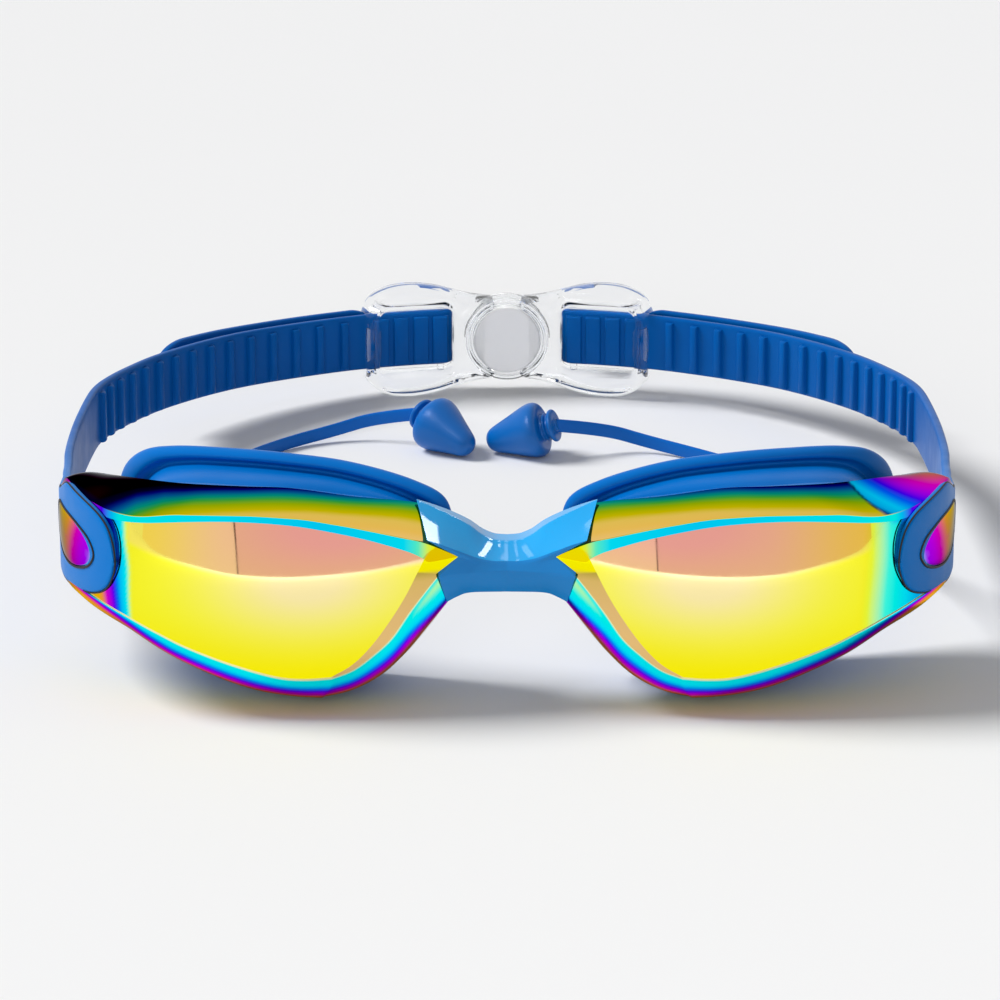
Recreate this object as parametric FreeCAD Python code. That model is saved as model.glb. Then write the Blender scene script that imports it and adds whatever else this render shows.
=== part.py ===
import FreeCAD, Part
import math
import os

# Swim goggles lying on a table: two mirrored one-piece lenses, two silicone
# face gaskets, a clip-in nose bridge, a two-piece ribbed silicone strap that
# hooks over a stud on each lens, a clear buckle at the back and two tethered
# ear plugs.  Millimetres, +Z up, +Y towards the back of the head, +X to the
# wearer's left (the right-hand side seen from in front).  The shapes below
# are written for the +X side and mirrored.

V = FreeCAD.Vector

# ---- driving dimensions -------------------------------------------------
y_shift = -41.55          # moves the origin under the middle of the box

# front surface of a lens in plan (X, Y)
lens_front = [(6.0, -64.3), (9, -65.3), (25, -68.5), (41, -69.5), (56, -68.2), (66, -65.6),
              (71.5, -62.0), (76, -56.0), (79.5, -48.0), (82, -39.0), (83.2, -28.0)]
# rear rim of a lens in plan
lens_rear = [(6.0, -53.6), (9, -54), (25, -56), (41, -56), (56, -53), (66, -48), (72, -42.5),
             (77.5, -35.0), (82.0, -28.5)]
# face line of a gasket in plan
face_line = [(5, -47.8), (8, -47), (25, -43.5), (41, -40), (56, -35), (66, -30), (76, -22.5)]
lens_wall = 2.0
# outline of a lens in front view (X, Z), front edge and rear rim
lens_out_front = [(8.7, 28.4), (11.6, 30.4), (19.2, 32.8), (29.9, 35.2), (41, 36.6), (52, 36.9), (62, 36.6),
                  (71, 36.0), (79, 36.2), (86, 34.0), (88, 27.0), (86.0, 21.5), (78, 18.6), (68.8, 15.9),
                  (61.3, 12.4), (52.2, 8.4), (45.4, 6.0), (38.3, 4.4), (33.5, 4.1), (28, 5.2), (22.8, 7.8),
                  (18.2, 11.8), (14.4, 16.1), (10.9, 20.5), (10.6, 24.4)]
lens_out_rear = [(9.4, 29.6), (11.8, 33.6), (19.2, 36.6), (29.9, 38.1), (40, 39.3), (50, 39.4), (60, 39.0),
                 (70, 37.9), (79, 35.2), (86, 32.2), (88, 27.0), (86.5, 21.0), (78, 16.8), (69.0, 13.2),
                 (61.5, 9.2), (52.4, 4.9), (45.4, 2.4), (38.3, 1.3), (33.5, 1.1), (27.6, 2.2), (21.8, 5.2),
                 (16.9, 9.6), (13.0, 14.2), (10.0, 19.2), (9.2, 24.4)]
# outline of the face flange of a gasket in front view
flange_out = [(10.1, 32.0), (11.6, 35.2), (17.0, 37.9), (28.8, 40.7), (39.9, 41.6), (50.9, 41.6), (61.8, 40.7),
              (67.2, 39.0), (70.9, 35.4), (72.6, 30.0), (72.6, 23.0), (70.4, 16.0), (66.0, 9.8), (59.5, 5.2),
              (51.0, 1.8), (42.5, 0.35), (35.0, 0.15), (27.0, 1.5), (20.0, 5.2), (14.2, 11.2), (10.5, 18.0),
              (9.4, 25.0)]
eye_centre = (41.0, 20.8)
flange_thick = 2.4
rim_thick = 3.0

# strap
band_thick = 1.7
band_high = 12.2
rib_out, rib_wide, rib_high, rib_drop = 1.0, 1.7, 10.3, 0.6
rib_count, window_ribs = 15, 3
strap_inner = [(81.85, -19.5), (82.5, -12.0), (83.1, -2.0), (84.0, 10.0), (84.7, 32.0), (84.5, 50.0), (83.3, 68.8),
               (80.9, 79.6), (77.4, 89.6), (73.6, 98.2), (69.0, 106.2), (63.6, 114.1), (57.6, 121.4),
               (50.9, 127.8), (43.6, 133.6), (36.2, 138.4), (30.5, 141.4), (25.0, 143.4), (19.5, 144.9), (14.2, 146.0)]
neck_inner = [(80.95, -30.0), (81.3, -26.0), (81.9, -19.0), (82.5, -12.0), (82.9, -4.0)]
hinge_at = (-12.0, 23.3)  # (Y, Z) of the line about which the head strap swings
hinge_gap = 0.55
strap_mid_z = [(-75, 27.6), (-44, 27.2), (-27, 25.3), (-12, 23.3), (10, 21.0), (32, 18.9), (50, 17.8), (68.8, 17.1),
               (89.6, 15.9), (106.2, 15.0), (121.4, 14.1), (138.4, 13.0), (146.2, 12.7), (170, 12.7)]
pad_out = [(-29.0, 34.0), (-38.0, 37.6), (-50.0, 39.2), (-57.5, 37.4), (-61.3, 34.2), (-62.4, 30.4), (-62.6, 27.4),
           (-61.9, 24.2), (-59.6, 21.4), (-55.0, 19.7), (-47.0, 18.6), (-38.0, 17.6), (-29.0, 17.3)]
pad_thick = 2.3
stud_out = [(-37.0, 31.0), (-44.0, 31.6), (-51.0, 31.0), (-55.6, 29.4), (-57.0, 27.2), (-55.4, 24.8), (-51.0, 23.0),
            (-45.0, 22.4), (-40.0, 23.6), (-36.4, 27.4)]
stud_gap = 0.3
tail_gap = 2.6
tail_end = 11             # the free end lies outside the band up to this strap point

# buckle
clasp_y0, clasp_bow = 144.8, 170.0
clasp_mid_z, clasp_half_high = 12.4, 12.4
clasp_half_long = 30.5
clasp_deep = 6.6
ring_out_r, ring_in_r = 10.2, 7.9
boss_r = 7.6
button_r, button_bore_r = 5.2, 5.5
button_travel = 1.2

# ear plugs and their leads
plug_r, plug_tip_r, plug_long = 5.8, 2.6, 12.4
neck_r, neck_long = 2.3, 2.6
collar_r, collar_long = 3.5, 1.3
plug_tilt = 18.0
lead_d = 2.4
lead_left = [(-76.6, -27.0, 24.0), (-76.6, -16.0, 23.6), (-77.0, -2.0, 17.6), (-76.6, 15.0, 7.8),
             (-75.0, 33.0, 2.3), (-71.5, 51.0, 1.35), (-64.5, 73.0, 1.3), (-54.5, 92.0, 1.3),
             (-45.5, 103.4, 1.3), (-36.6, 108.6, 2.4), (-27.4, 109.6, 4.9)]
lead_right = [(76.6, -27.0, 24.0), (76.6, -16.0, 23.6), (76.9, -3.0, 18.4), (76.3, 12.5, 9.4),
              (74.6, 29.0, 2.9), (70.5, 46.0, 1.4), (62.0, 65.0, 1.3), (51.0, 82.5, 1.3),
              (39.6, 94.0, 1.3), (29.6, 100.0, 2.4), (19.8, 101.0, 5.0)]
plug_left_at, plug_left_dir = (-14.7, 101.8), (0.72, -0.69)
plug_right_at, plug_right_dir = (5.6, 97.4), (-0.96, 0.28)


# ---- helpers ------------------------------------------------------------
def spline_edge(pts, closed=False):
    c = Part.BSplineCurve()
    c.interpolate([V(*p) for p in pts], PeriodicFlag=closed)
    return c.toShape()


def prism_y(pts, y0, y1, closed=True):
    w = Part.Wire([spline_edge([(x, y0, z) for x, z in pts], True)])
    return Part.Face(w).extrude(V(0, y1 - y0, 0))


def prism_x(pts, x0, x1, smooth=True):
    if smooth:
        w = Part.Wire([spline_edge([(x0, y, z) for y, z in pts], True)])
    else:
        q = [V(x0, y, z) for y, z in pts]
        w = Part.makePolygon(q + [q[0]])
    return Part.Face(w).extrude(V(x1 - x0, 0, 0))


def offset_line(pts, d):
    """A plan line moved sideways by d along its left normal."""
    out = []
    n = len(pts)
    for i, (x, y) in enumerate(pts):
        a = pts[max(0, i - 1)]
        b = pts[min(n - 1, i + 1)]
        tx, ty = b[0] - a[0], b[1] - a[1]
        s = math.hypot(tx, ty)
        out.append((x - ty / s * d, y + tx / s * d))
    return out


def slab(line_a, line_b, z0=-6.0, z1=52.0):
    """The plan region between two lines, extruded in Z."""
    a = spline_edge([(x, y, z0) for x, y in line_a])
    b = spline_edge([(x, y, z0) for x, y in line_b])
    c = Part.LineSegment(V(line_a[-1][0], line_a[-1][1], z0), V(line_b[-1][0], line_b[-1][1], z0)).toShape()
    d = Part.LineSegment(V(line_b[0][0], line_b[0][1], z0), V(line_a[0][0], line_a[0][1], z0)).toShape()
    w = Part.Wire([a, c, b, d])
    return Part.Face(w).extrude(V(0, 0, z1 - z0))


def scaled(pts, k, centre=eye_centre, kz=None):
    kz = k if kz is None else kz
    return [(centre[0] + (x - centre[0]) * k, centre[1] + (z - centre[1]) * kz) for x, z in pts]


def taper(front, rear, y0, y1, y2):
    w0 = Part.Wire([spline_edge([(x, y0, z) for x, z in front], True)])
    w1 = Part.Wire([spline_edge([(x, y1, z) for x, z in rear], True)])
    w2 = Part.Wire([spline_edge([(x, y2, z) for x, z in rear], True)])
    return Part.makeLoft([w0, w1, w2], True, True)


def lerp_table(t, x):
    for (a, va), (b, vb) in zip(t, t[1:]):
        if x <= b:
            return va + (vb - va) * max(0.0, (x - a)) / (b - a)
    return t[-1][1]


def mirrored(s):
    return s.mirror(V(0, 0, 0), V(1, 0, 0))


def biggest(s):
    return max(s.Solids, key=lambda q: q.Volume)


def one(s):
    s = s.removeSplitter()
    b = biggest(s)
    rest = sum(q.Volume for q in s.Solids) - b.Volume
    if rest > 0.5:
        print("  dropped pieces of", round(rest, 2))
    return b


# ---- lens ---------------------------------------------------------------
def make_pad_blank():
    outer = offset_line(lens_front[4:], 0.0)
    inner = offset_line(lens_front[4:], pad_thick)
    return slab(outer, inner).common(prism_x(pad_out, 66.0, 90.0))


def make_lens():
    body = taper(lens_out_front, lens_out_rear, -74.0, -56.0, -18.0)
    body = body.common(slab(lens_front, lens_rear))
    hollow_front = scaled(lens_out_front, 0.86, (40.0, 20.5), 0.87)
    hollow_rear = scaled(lens_out_rear, 0.86, (40.0, 20.5), 0.88)
    hollow = taper(hollow_front, hollow_rear, -74.0, -56.0, -18.0)
    inner_front = offset_line(lens_front, lens_wall)
    hollow = hollow.common(slab(inner_front[1:], [(x, y + 30.0) for x, y in lens_rear]))
    hollow = hollow.common(Part.makeBox(58.4, 80, 60, V(10.6, -80, -5)))
    body = body.cut(hollow)
    full = body
    blank = make_pad_blank()
    body = body.cut(blank)
    stud = slab(offset_line(lens_front[4:], -0.5), offset_line(lens_front[4:], pad_thick + 0.6))
    stud = stud.common(prism_x(stud_out, 66.0, 92.0))
    body = body.fuse(stud)
    return one(body), full


def make_pad(lens_full):
    hole = scaled(stud_out, 1.0 + stud_gap / 10.0, (-46.6, 27.0), 1.0 + stud_gap / 4.6)
    pad = make_pad_blank().common(lens_full).cut(prism_x(hole, 60.0, 95.0))
    # the neck that leads from the pad to the band
    neck = slab(neck_inner, offset_line(neck_inner, -band_thick), -6, 60).common(band_profile(band_high))
    disc = Part.makeCylinder(band_high / 2.0 + hinge_gap, 20, V(75, hinge_at[0], hinge_at[1]), V(1, 0, 0))
    aft = Part.makeBox(30, 60, 60, V(70, hinge_at[0] - 0.5, -5))
    return pad.fuse(neck.cut(disc).cut(aft))


# ---- gasket -------------------------------------------------------------
def make_gasket():
    rim = [(10.0, 29.3), (12.2, 33.2), (19.4, 36.1), (29.9, 37.6), (40, 38.8), (50, 38.9), (60, 38.4),
           (66.5, 36.4), (70.6, 31.6), (71.6, 25.0), (70.6, 18.6), (67.2, 12.6), (61.0, 8.4), (52.4, 4.9),
           (45.4, 2.9), (38.3, 1.8), (33.5, 1.6), (27.8, 2.7), (22.1, 5.7), (17.3, 10.1), (13.4, 14.6), (10.6, 19.4)]
    neck = scaled(rim, 0.905, eye_centre, 0.875)
    y_seat = [(x, y + 0.03) for x, y in lens_rear]
    y_rim = [(x, y + rim_thick) for x, y in lens_rear]
    y_fl = [(x, y - flange_thick) for x, y in face_line]
    a = slab(y_seat, y_rim).common(prism_y(rim, -80, -10))
    b = slab([(x, y + 0.7) for x, y in lens_rear], [(x, y - 0.6) for x, y in face_line]).common(prism_y(neck, -80, -10))
    c = slab(y_fl, face_line).common(prism_y(flange_out, -80, -10))
    g = a.fuse(b).fuse(c)
    hole = scaled(rim, 0.79, eye_centre, 0.74)
    g = g.cut(prism_y(hole, -90, 0))
    return one(g)


# ---- nose bridge --------------------------------------------------------
bridge_sections = [
    # X, then (Y, Z) of: top rear, crease 1, crease 2, bottom front, bottom rear, back
    (-16.2, (-55.2, 36.2), (-66.6, 32.6), (-67.6, 27.0), (-66.8, 22.6), (-60.0, 21.6), (-54.6, 30.6)),
    (-11.2, (-53.6, 33.6), (-65.0, 30.4), (-65.6, 25.6), (-64.4, 20.0), (-58.6, 19.4), (-53.2, 27.6)),
    (-6.0, (-52.2, 31.0), (-62.6, 28.6), (-63.6, 25.6), (-62.6, 21.8), (-57.6, 20.8), (-52.6, 25.6)),
    (0.0, (-51.4, 28.0), (-61.6, 27.2), (-62.8, 25.8), (-61.8, 21.6), (-57.0, 20.8), (-52.4, 24.2)),
    (6.0, (-52.2, 31.0), (-62.6, 28.6), (-63.6, 25.6), (-62.6, 21.8), (-57.6, 20.8), (-52.6, 25.6)),
    (11.2, (-53.6, 33.6), (-65.0, 30.4), (-65.6, 25.6), (-64.4, 20.0), (-58.6, 19.4), (-53.2, 27.6)),
    (16.2, (-55.2, 36.2), (-66.6, 32.6), (-67.6, 27.0), (-66.8, 22.6), (-60.0, 21.6), (-54.6, 30.6)),
]
bridge_front = [(-16.2, 37.6), (-10.6, 33.8), (-6.6, 31.0), (-3.4, 29.2), (0.0, 28.4), (3.4, 29.2), (6.6, 31.0),
                (10.6, 33.8), (16.2, 37.6), (14.4, 30.4), (8.9, 27.6), (12.2, 24.6), (10.9, 19.4), (7.2, 21.0),
                (-7.2, 21.0), (-10.9, 19.4), (-12.2, 24.6), (-8.9, 27.6), (-14.4, 30.4)]


def make_bridge(lens_r, lens_l, gask_r, gask_l):
    wires = []
    for s in bridge_sections:
        q = [V(s[0], y, z) for y, z in s[1:]]
        wires.append(Part.makePolygon(q + [q[0]]))
    b = Part.makeLoft(wires, True, True)
    q = [V(x, -75, z) for x, z in bridge_front]
    f = Part.Face(Part.makePolygon(q + [q[0]])).extrude(V(0, 30, 0))
    # the clip tongues go into the lens corners
    b = b.common(f)
    for t in (lens_r, lens_l, gask_r, gask_l):
        b = b.cut(t)
    return one(b)


# ---- strap --------------------------------------------------------------
def dense_line(pts, step=2.0):
    c = Part.BSplineCurve()
    c.interpolate([V(x, y, 0) for x, y in pts])
    n = max(2, int(c.length() / step))
    ps = [c.value(c.parameterAtDistance(c.length() * i / n)) for i in range(n + 1)]
    return [(p.x, p.y) for p in ps]


def band_profile(high, y0=-75.0, y1=170.0):
    top = [(y, z + high / 2.0) for y, z in strap_mid_z]
    bot = [(y, z - high / 2.0) for y, z in strap_mid_z]
    e1 = spline_edge([(-10.0, y, z) for y, z in top])
    e2 = spline_edge([(-10.0, y, z) for y, z in bot])
    l1 = Part.LineSegment(V(-10, top[-1][0], top[-1][1]), V(-10, bot[-1][0], bot[-1][1])).toShape()
    l2 = Part.LineSegment(V(-10, bot[0][0], bot[0][1]), V(-10, top[0][0], top[0][1])).toShape()
    return Part.Face(Part.Wire([e1, l1, e2, l2])).extrude(V(110, 0, 0))


def rib_stations():
    c = Part.BSplineCurve()
    c.interpolate([V(x, y, 0) for x, y in strap_inner])
    total = c.length()
    s_first = c.length() - 0.0
    # arc length at the first and the last rib outside the buckle
    def s_at(x, y):
        u = c.parameter(V(x, y, 0))
        return c.length(c.FirstParameter, u)
    s15 = s_at(83.2, 69.4)
    s1 = s_at(35.5, 138.8)
    pitch = (s1 - s15) / (rib_count - 1)
    out = []
    k = 0
    s = s15
    while s < total - 1.2:
        u = c.parameterAtDistance(s)
        p = c.value(u)
        t = c.tangent(u)[0]
        out.append((p.x, p.y, t.x, t.y))
        s += pitch
        k += 1
    print("rib pitch", round(pitch, 2), "ribs", k, "strap line", round(total, 1))
    return out


def make_strap(lens_full):
    prof = band_profile(band_high)
    outer = offset_line(strap_inner, -band_thick)
    band = slab(strap_inner, outer, -6, 60).common(prof)
    # wrap round the buckle's post and the free tail outside
    tail_in = offset_line(strap_inner, -(band_thick + tail_gap))
    tail_out = offset_line(strap_inner, -(2 * band_thick + tail_gap))
    tail = slab(tail_in[tail_end:], tail_out[tail_end:], -6, 60).common(prof)
    a = strap_inner[-1]
    tx, ty = a[0] - strap_inner[-2][0], a[1] - strap_inner[-2][1]
    s = math.hypot(tx, ty)
    tx, ty = tx / s, ty / s
    nx, ny = ty, -tx
    depth = 2 * band_thick + tail_gap
    c = V(a[0] + nx * depth / 2.0, a[1] + ny * depth / 2.0, -6)
    cyl = Part.makeCylinder(depth / 2.0, 66, c).cut(Part.makeCylinder(tail_gap / 2.0, 66, c))
    half = Part.makeBox(30, 30, 66, V(0, -15, 0))
    ang = math.degrees(math.atan2(ty, tx))
    half.rotate(V(0, 0, 0), V(0, 0, 1), ang)
    half.translate(c)
    wrap = cyl.common(half).common(prof)
    rib = None
    for (x, y, ux, uy) in rib_stations():
        zc = lerp_table(strap_mid_z, y)
        b = Part.makeBox(rib_wide, rib_out + 0.4, rib_high, V(-rib_wide / 2.0, -0.4, -rib_high / 2.0))
        b.rotate(V(0, 0, 0), V(0, 0, 1), math.degrees(math.atan2(uy, ux)))
        b.translate(V(x, y, zc - rib_drop))
        rib = b if rib is None else rib.fuse(b)
    pad = make_pad(lens_full)
    s = band.fuse(tail).fuse(wrap).fuse(rib)
    # the end of the band is rounded about the hinge line
    fore = Part.makeBox(30, 30, 60, V(70, hinge_at[0] - 30.0, -5)).cut(
        Part.makeCylinder(band_high / 2.0 - 0.05, 30, V(70, hinge_at[0], hinge_at[1]), V(1, 0, 0)))
    s = s.cut(fore)
    return s, pad, c


# ---- buckle -------------------------------------------------------------
def clasp_line(x, n):
    """Plan point of the buckle at X = x and depth n behind its head side."""
    y = clasp_y0 - x * x / clasp_bow
    sx, sy = 1.0, -2.0 * x / clasp_bow
    s = math.hypot(sx, sy)
    return (x - sy / s * n, y + sx / s * n)


def clasp_slab(x0, x1, n0, n1, z0, z1):
    k = 7
    xs = [x0 + (x1 - x0) * i / (k - 1) for i in range(k)]
    a = [clasp_line(x, n0) for x in xs]
    b = [clasp_line(x, n1) for x in xs]
    return slab(a, b, z0, z1)


wing = [(7.0, 9.2), (11.0, 10.2), (15.0, 11.6), (20.0, 12.4), (25.0, 11.9), (28.6, 10.0), (30.4, 6.0), (30.5, 0.0)]


def make_clasp(side):
    """side +1: the half with the boss; side -1 is built mirrored: the ring."""
    up = [(x, clasp_mid_z + h) for x, h in wing]
    dn = [(x, clasp_mid_z - h) for x, h in reversed(wing[:-1])]
    pts = up + dn
    e = spline_edge([(x, 120.0, z) for x, z in pts])
    l = Part.LineSegment(V(pts[-1][0], 120, pts[-1][1]), V(pts[0][0], 120, pts[0][1])).toShape()
    outline = Part.Face(Part.Wire([e, l])).extrude(V(0, 60, 0))
    frame = clasp_slab(7.0, 30.5, 0.0, clasp_deep, -2, 30).common(outline)
    win = clasp_slab(11.6, 27.4, -2.0, clasp_deep + 4, clasp_mid_z - 7.1, clasp_mid_z + 7.1)
    frame = frame.cut(win)
    # strap slot through the end of the frame, behind the head-side bar
    slot = clasp_slab(24.0, 33.0, 1.3, clasp_deep + 4, clasp_mid_z - 7.1, clasp_mid_z + 7.1)
    frame = frame.cut(slot)
    return frame


def cyl_y(r, y0, y1, z=None, x=0.0):
    return Part.makeCylinder(r, y1 - y0, V(x, y0, clasp_mid_z if z is None else z), V(0, 1, 0))


hub_y = clasp_y0


def make_clasp_left(post):
    f = mirrored(make_clasp(-1))
    f = f.cut(cyl_y(ring_out_r - 0.6, hub_y - 5, hub_y + 20))
    f = f.cut(cyl_y(ring_out_r + 0.4, hub_y + 4.0, hub_y + 20))
    ring = cyl_y(ring_out_r, hub_y - 0.2, hub_y + 3.7).cut(cyl_y(ring_in_r, hub_y - 5, hub_y + 20))
    return one(f.fuse(ring).fuse(mirrored(post)))


def make_clasp_right(post):
    f = make_clasp(1)
    f = f.cut(cyl_y(ring_out_r + 0.3, hub_y - 5, hub_y + 4.0))
    base = cyl_y(ring_out_r, hub_y + 4.0, hub_y + clasp_deep + 0.4)
    boss = cyl_y(boss_r, hub_y + 0.4, hub_y + 4.4)
    s = f.fuse(base).fuse(boss)
    s = s.cut(cyl_y(button_bore_r, hub_y + 2.2, hub_y + 20))
    return one(s.fuse(post))


def make_button():
    b = cyl_y(button_r, hub_y + 3.7, hub_y + clasp_deep + 1.2)
    try:
        e = [q for q in b.Edges if abs(q.BoundBox.YMin - (hub_y + clasp_deep + 1.2)) < 1e-3 and q.BoundBox.YLength < 1e-3]
        b = b.makeFillet(0.5, e)
    except Exception:
        pass
    return b


# ---- ear plugs and leads ------------------------------------------------
def plug_frame(at, d):
    s = math.hypot(d[0], d[1])
    t = math.radians(plug_tilt)
    return V(d[0] / s * math.cos(t), d[1] / s * math.cos(t), -math.sin(t))


def make_plug(at, d):
    """Built about Z with the tip towards +Z, then laid on its side."""
    r, rt, L = plug_r, plug_tip_r, plug_long
    s = Part.makeCone(r - 0.9, r, 1.2, V(0, 0, 0))
    s = s.fuse(Part.makeCone(r, rt * 1.06, L - rt - 1.2, V(0, 0, 1.2)))
    s = s.fuse(Part.makeSphere(rt * 1.1, V(0, 0, L - rt * 1.1)))
    s = s.fuse(Part.makeCylinder(neck_r, neck_long + 0.6, V(0, 0, -neck_long - 0.3)))
    s = s.fuse(Part.makeCylinder(collar_r, collar_long, V(0, 0, -neck_long - collar_long)))
    s = one(s)
    ax = plug_frame(at, d)
    rot = FreeCAD.Rotation(V(0, 0, 1), ax)
    s.Placement = FreeCAD.Placement(V(0, 0, 0), rot)
    s = s.copy()
    s.translate(V(at[0], at[1], -s.BoundBox.ZMin + 0.02))
    return s


def plug_tail(at, d, shape):
    """Where the lead enters the collar."""
    ax = plug_frame(at, d)
    probe = make_plug(at, d)
    t = math.radians(plug_tilt)
    # height of the axis at the wide end follows from the lowest point
    base = Part.makeCylinder(0.01, 1.0, V(0, 0, 0), V(0, 0, 1))
    raw_min = None
    s = make_raw_min(at, d)
    return V(at[0], at[1], -s) - ax * (neck_long + collar_long)


def make_raw_min(at, d):
    r, rt, L = plug_r, plug_tip_r, plug_long
    ax = plug_frame(at, d)
    lo = 1e9
    c = math.sqrt(1 - ax.z * ax.z)
    for z, rr in ((1.2, r), (L - rt, rt * 1.1), (-neck_long, collar_r), (-neck_long - collar_long, collar_r)):
        lo = min(lo, ax.z * z - rr * c)
    return lo - 0.02


def lead_points(route, tail):
    return [V(*p) for p in route] + [tail]


def lead_path(pts):
    edges, radii = [], []
    cur = pts[0]
    for i in range(1, len(pts) - 1):
        a, b, c = pts[i - 1], pts[i], pts[i + 1]
        d1, d2 = (b - a), (c - b)
        l1, l2 = d1.Length, d2.Length
        u1, u2 = d1 * (1.0 / l1), d2 * (1.0 / l2)
        turn = math.acos(max(-1.0, min(1.0, u1.dot(u2))))
        t = 0.45 * min(l1, l2)
        r = t / math.tan(turn / 2.0)
        radii.append(r)
        p1, p2 = b - u1 * t, b + u2 * t
        m = (p1 + p2) * 0.5
        half = turn / 2.0
        centre = b + (m - b) * ((t / math.sin(half)) / (t * math.cos(half)) * 1.0) if False else None
        bis = (m - b)
        bl = bis.Length
        dist = r / math.cos(half) - r
        mid = b + bis * (dist / bl)
        edges.append(Part.LineSegment(cur, p1).toShape())
        edges.append(Part.Arc(p1, mid, p2).toShape())
        cur = p2
    edges.append(Part.LineSegment(cur, pts[-1]).toShape())
    return Part.Wire(edges), radii


def make_lead(name, pts):
    w, radii = lead_path(pts)
    d0 = (pts[1] - pts[0])
    prof = Part.Wire([Part.Circle(pts[0], d0, lead_d / 2.0).toShape()])
    s = w.makePipeShell([prof], True, False)
    want = math.pi * lead_d ** 2 / 4.0 * w.Length
    runs = [round((b - a).Length, 1) for a, b in zip(pts, pts[1:])]
    print(name, "length", round(w.Length, 1), "runs", runs, "radii", [round(r, 1) for r in radii],
          "volume", round(s.Volume / want, 4))
    return s


def make_anchor(sign):
    """The lead's moulded end piece, pressed into the back of the lens corner."""
    x, z = 76.6 * sign, 24.0
    a = Part.makeCone(2.9, 1.9, 5.6, V(x, -32.6, z), V(0, 1, 0))
    b = Part.makeCylinder(2.3, 6.0, V(x, -38.4, z), V(0, 1, 0))
    flange = Part.makeCylinder(3.4, 1.2, V(x, -33.2, z), V(0, 1, 0))
    return a.fuse(b).fuse(flange)


# ---- build --------------------------------------------------------------
def main():
    os.makedirs("parts", exist_ok=True)
    for f in os.listdir("parts"):
        if f.endswith(".step"):
            os.remove(os.path.join("parts", f))
    out = {}
    lens, lens_full = make_lens()
    anchor = make_anchor(1)
    lens = one(lens.cut(Part.makeCylinder(3.4, 30.0, V(76.6, -33.2, 24.0), V(0, 1, 0))).cut(
        Part.makeCylinder(2.3, 6.0, V(76.6, -38.4, 24.0), V(0, 1, 0))))
    anchor = anchor.cut(lens)
    gask = make_gasket()
    out["right_lens"] = lens
    out["left_lens"] = mirrored(lens)
    out["right_gasket"] = gask
    out["left_gasket"] = mirrored(gask)
    out["nose_bridge"] = make_bridge(lens, mirrored(lens), gask, mirrored(gask))
    strap, pad, post_c = make_strap(lens_full)
    # the post lies inside the wrap
    post = Part.makeCylinder(tail_gap / 2.0 - 0.05, clasp_mid_z * 2 - 6.0, V(post_c.x, post_c.y, 3.0))
    strap = one(strap)
    pad = one(pad.cut(strap))
    out["right_strap_pad"] = pad
    out["left_strap_pad"] = mirrored(pad)
    out["right_strap"] = strap
    out["left_strap"] = mirrored(strap)
    cl, cr = make_clasp_left(post), make_clasp_right(post)
    out["clasp_ring_half"] = cl
    out["clasp_boss_half"] = cr
    out["clasp_button"] = make_button()
    out["left_earplug"] = make_plug(plug_left_at, plug_left_dir)
    out["right_earplug"] = make_plug(plug_right_at, plug_right_dir)
    tl = plug_tail(plug_left_at, plug_left_dir, None)
    tr = plug_tail(plug_right_at, plug_right_dir, None)
    print("plug ends", tl, tr)
    out["left_lead"] = make_lead("left_lead", lead_points(lead_left, tl))
    out["right_lead"] = make_lead("right_lead", lead_points(lead_right, tr))
    out["right_lead_anchor"] = anchor
    out["left_lead_anchor"] = mirrored(anchor)
    for name, s in out.items():
        s = s.copy()
        s.translate(V(0, y_shift, 0))
        out[name] = s
        if s.ShapeType == "Compound" and len(s.Solids) == 1:
            s = s.Solids[0]
        s.exportStep("parts/%s.step" % name)
        bb = s.BoundBox
        print("%-18s ok=%s solids=%d vol=%.0f  x %.1f..%.1f  y %.1f..%.1f  z %.1f..%.1f" % (
            name, s.isValid(), len(s.Solids), s.Volume, bb.XMin, bb.XMax, bb.YMin, bb.YMax, bb.ZMin, bb.ZMax))
    lo = min(s.BoundBox.YMin for n, s in out.items() if "lead" not in n and "plug" not in n)
    hi = max(s.BoundBox.YMax for n, s in out.items() if "lead" not in n and "plug" not in n)
    print("Y box", round(lo, 2), round(hi, 2), "centre", round((lo + hi) / 2, 3))


main()
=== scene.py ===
import bpy
import math
import numpy as np
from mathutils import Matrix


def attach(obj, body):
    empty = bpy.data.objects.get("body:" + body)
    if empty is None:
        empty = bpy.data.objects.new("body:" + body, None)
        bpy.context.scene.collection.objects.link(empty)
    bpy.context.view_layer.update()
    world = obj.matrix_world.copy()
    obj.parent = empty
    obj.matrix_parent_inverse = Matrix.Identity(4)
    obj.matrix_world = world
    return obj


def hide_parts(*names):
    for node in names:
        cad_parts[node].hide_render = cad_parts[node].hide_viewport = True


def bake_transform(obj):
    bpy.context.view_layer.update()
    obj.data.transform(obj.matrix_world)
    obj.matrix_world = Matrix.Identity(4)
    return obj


# Mirrored swim goggles on a pale floor.  Shapes are written in millimetres for
# the +X side, in a frame whose Y is YS mm off the part frame, and mirrored.
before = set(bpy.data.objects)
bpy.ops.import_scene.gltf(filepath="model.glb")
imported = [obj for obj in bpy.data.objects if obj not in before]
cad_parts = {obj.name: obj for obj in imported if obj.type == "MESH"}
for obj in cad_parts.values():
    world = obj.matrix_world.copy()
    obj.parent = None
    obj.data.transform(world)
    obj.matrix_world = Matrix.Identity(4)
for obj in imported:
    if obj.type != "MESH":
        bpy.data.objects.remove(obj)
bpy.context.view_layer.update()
YS = -41.55


def to_m(p):
    p = np.array(p, float)
    p[..., 1] += YS
    return p * 0.001


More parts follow.
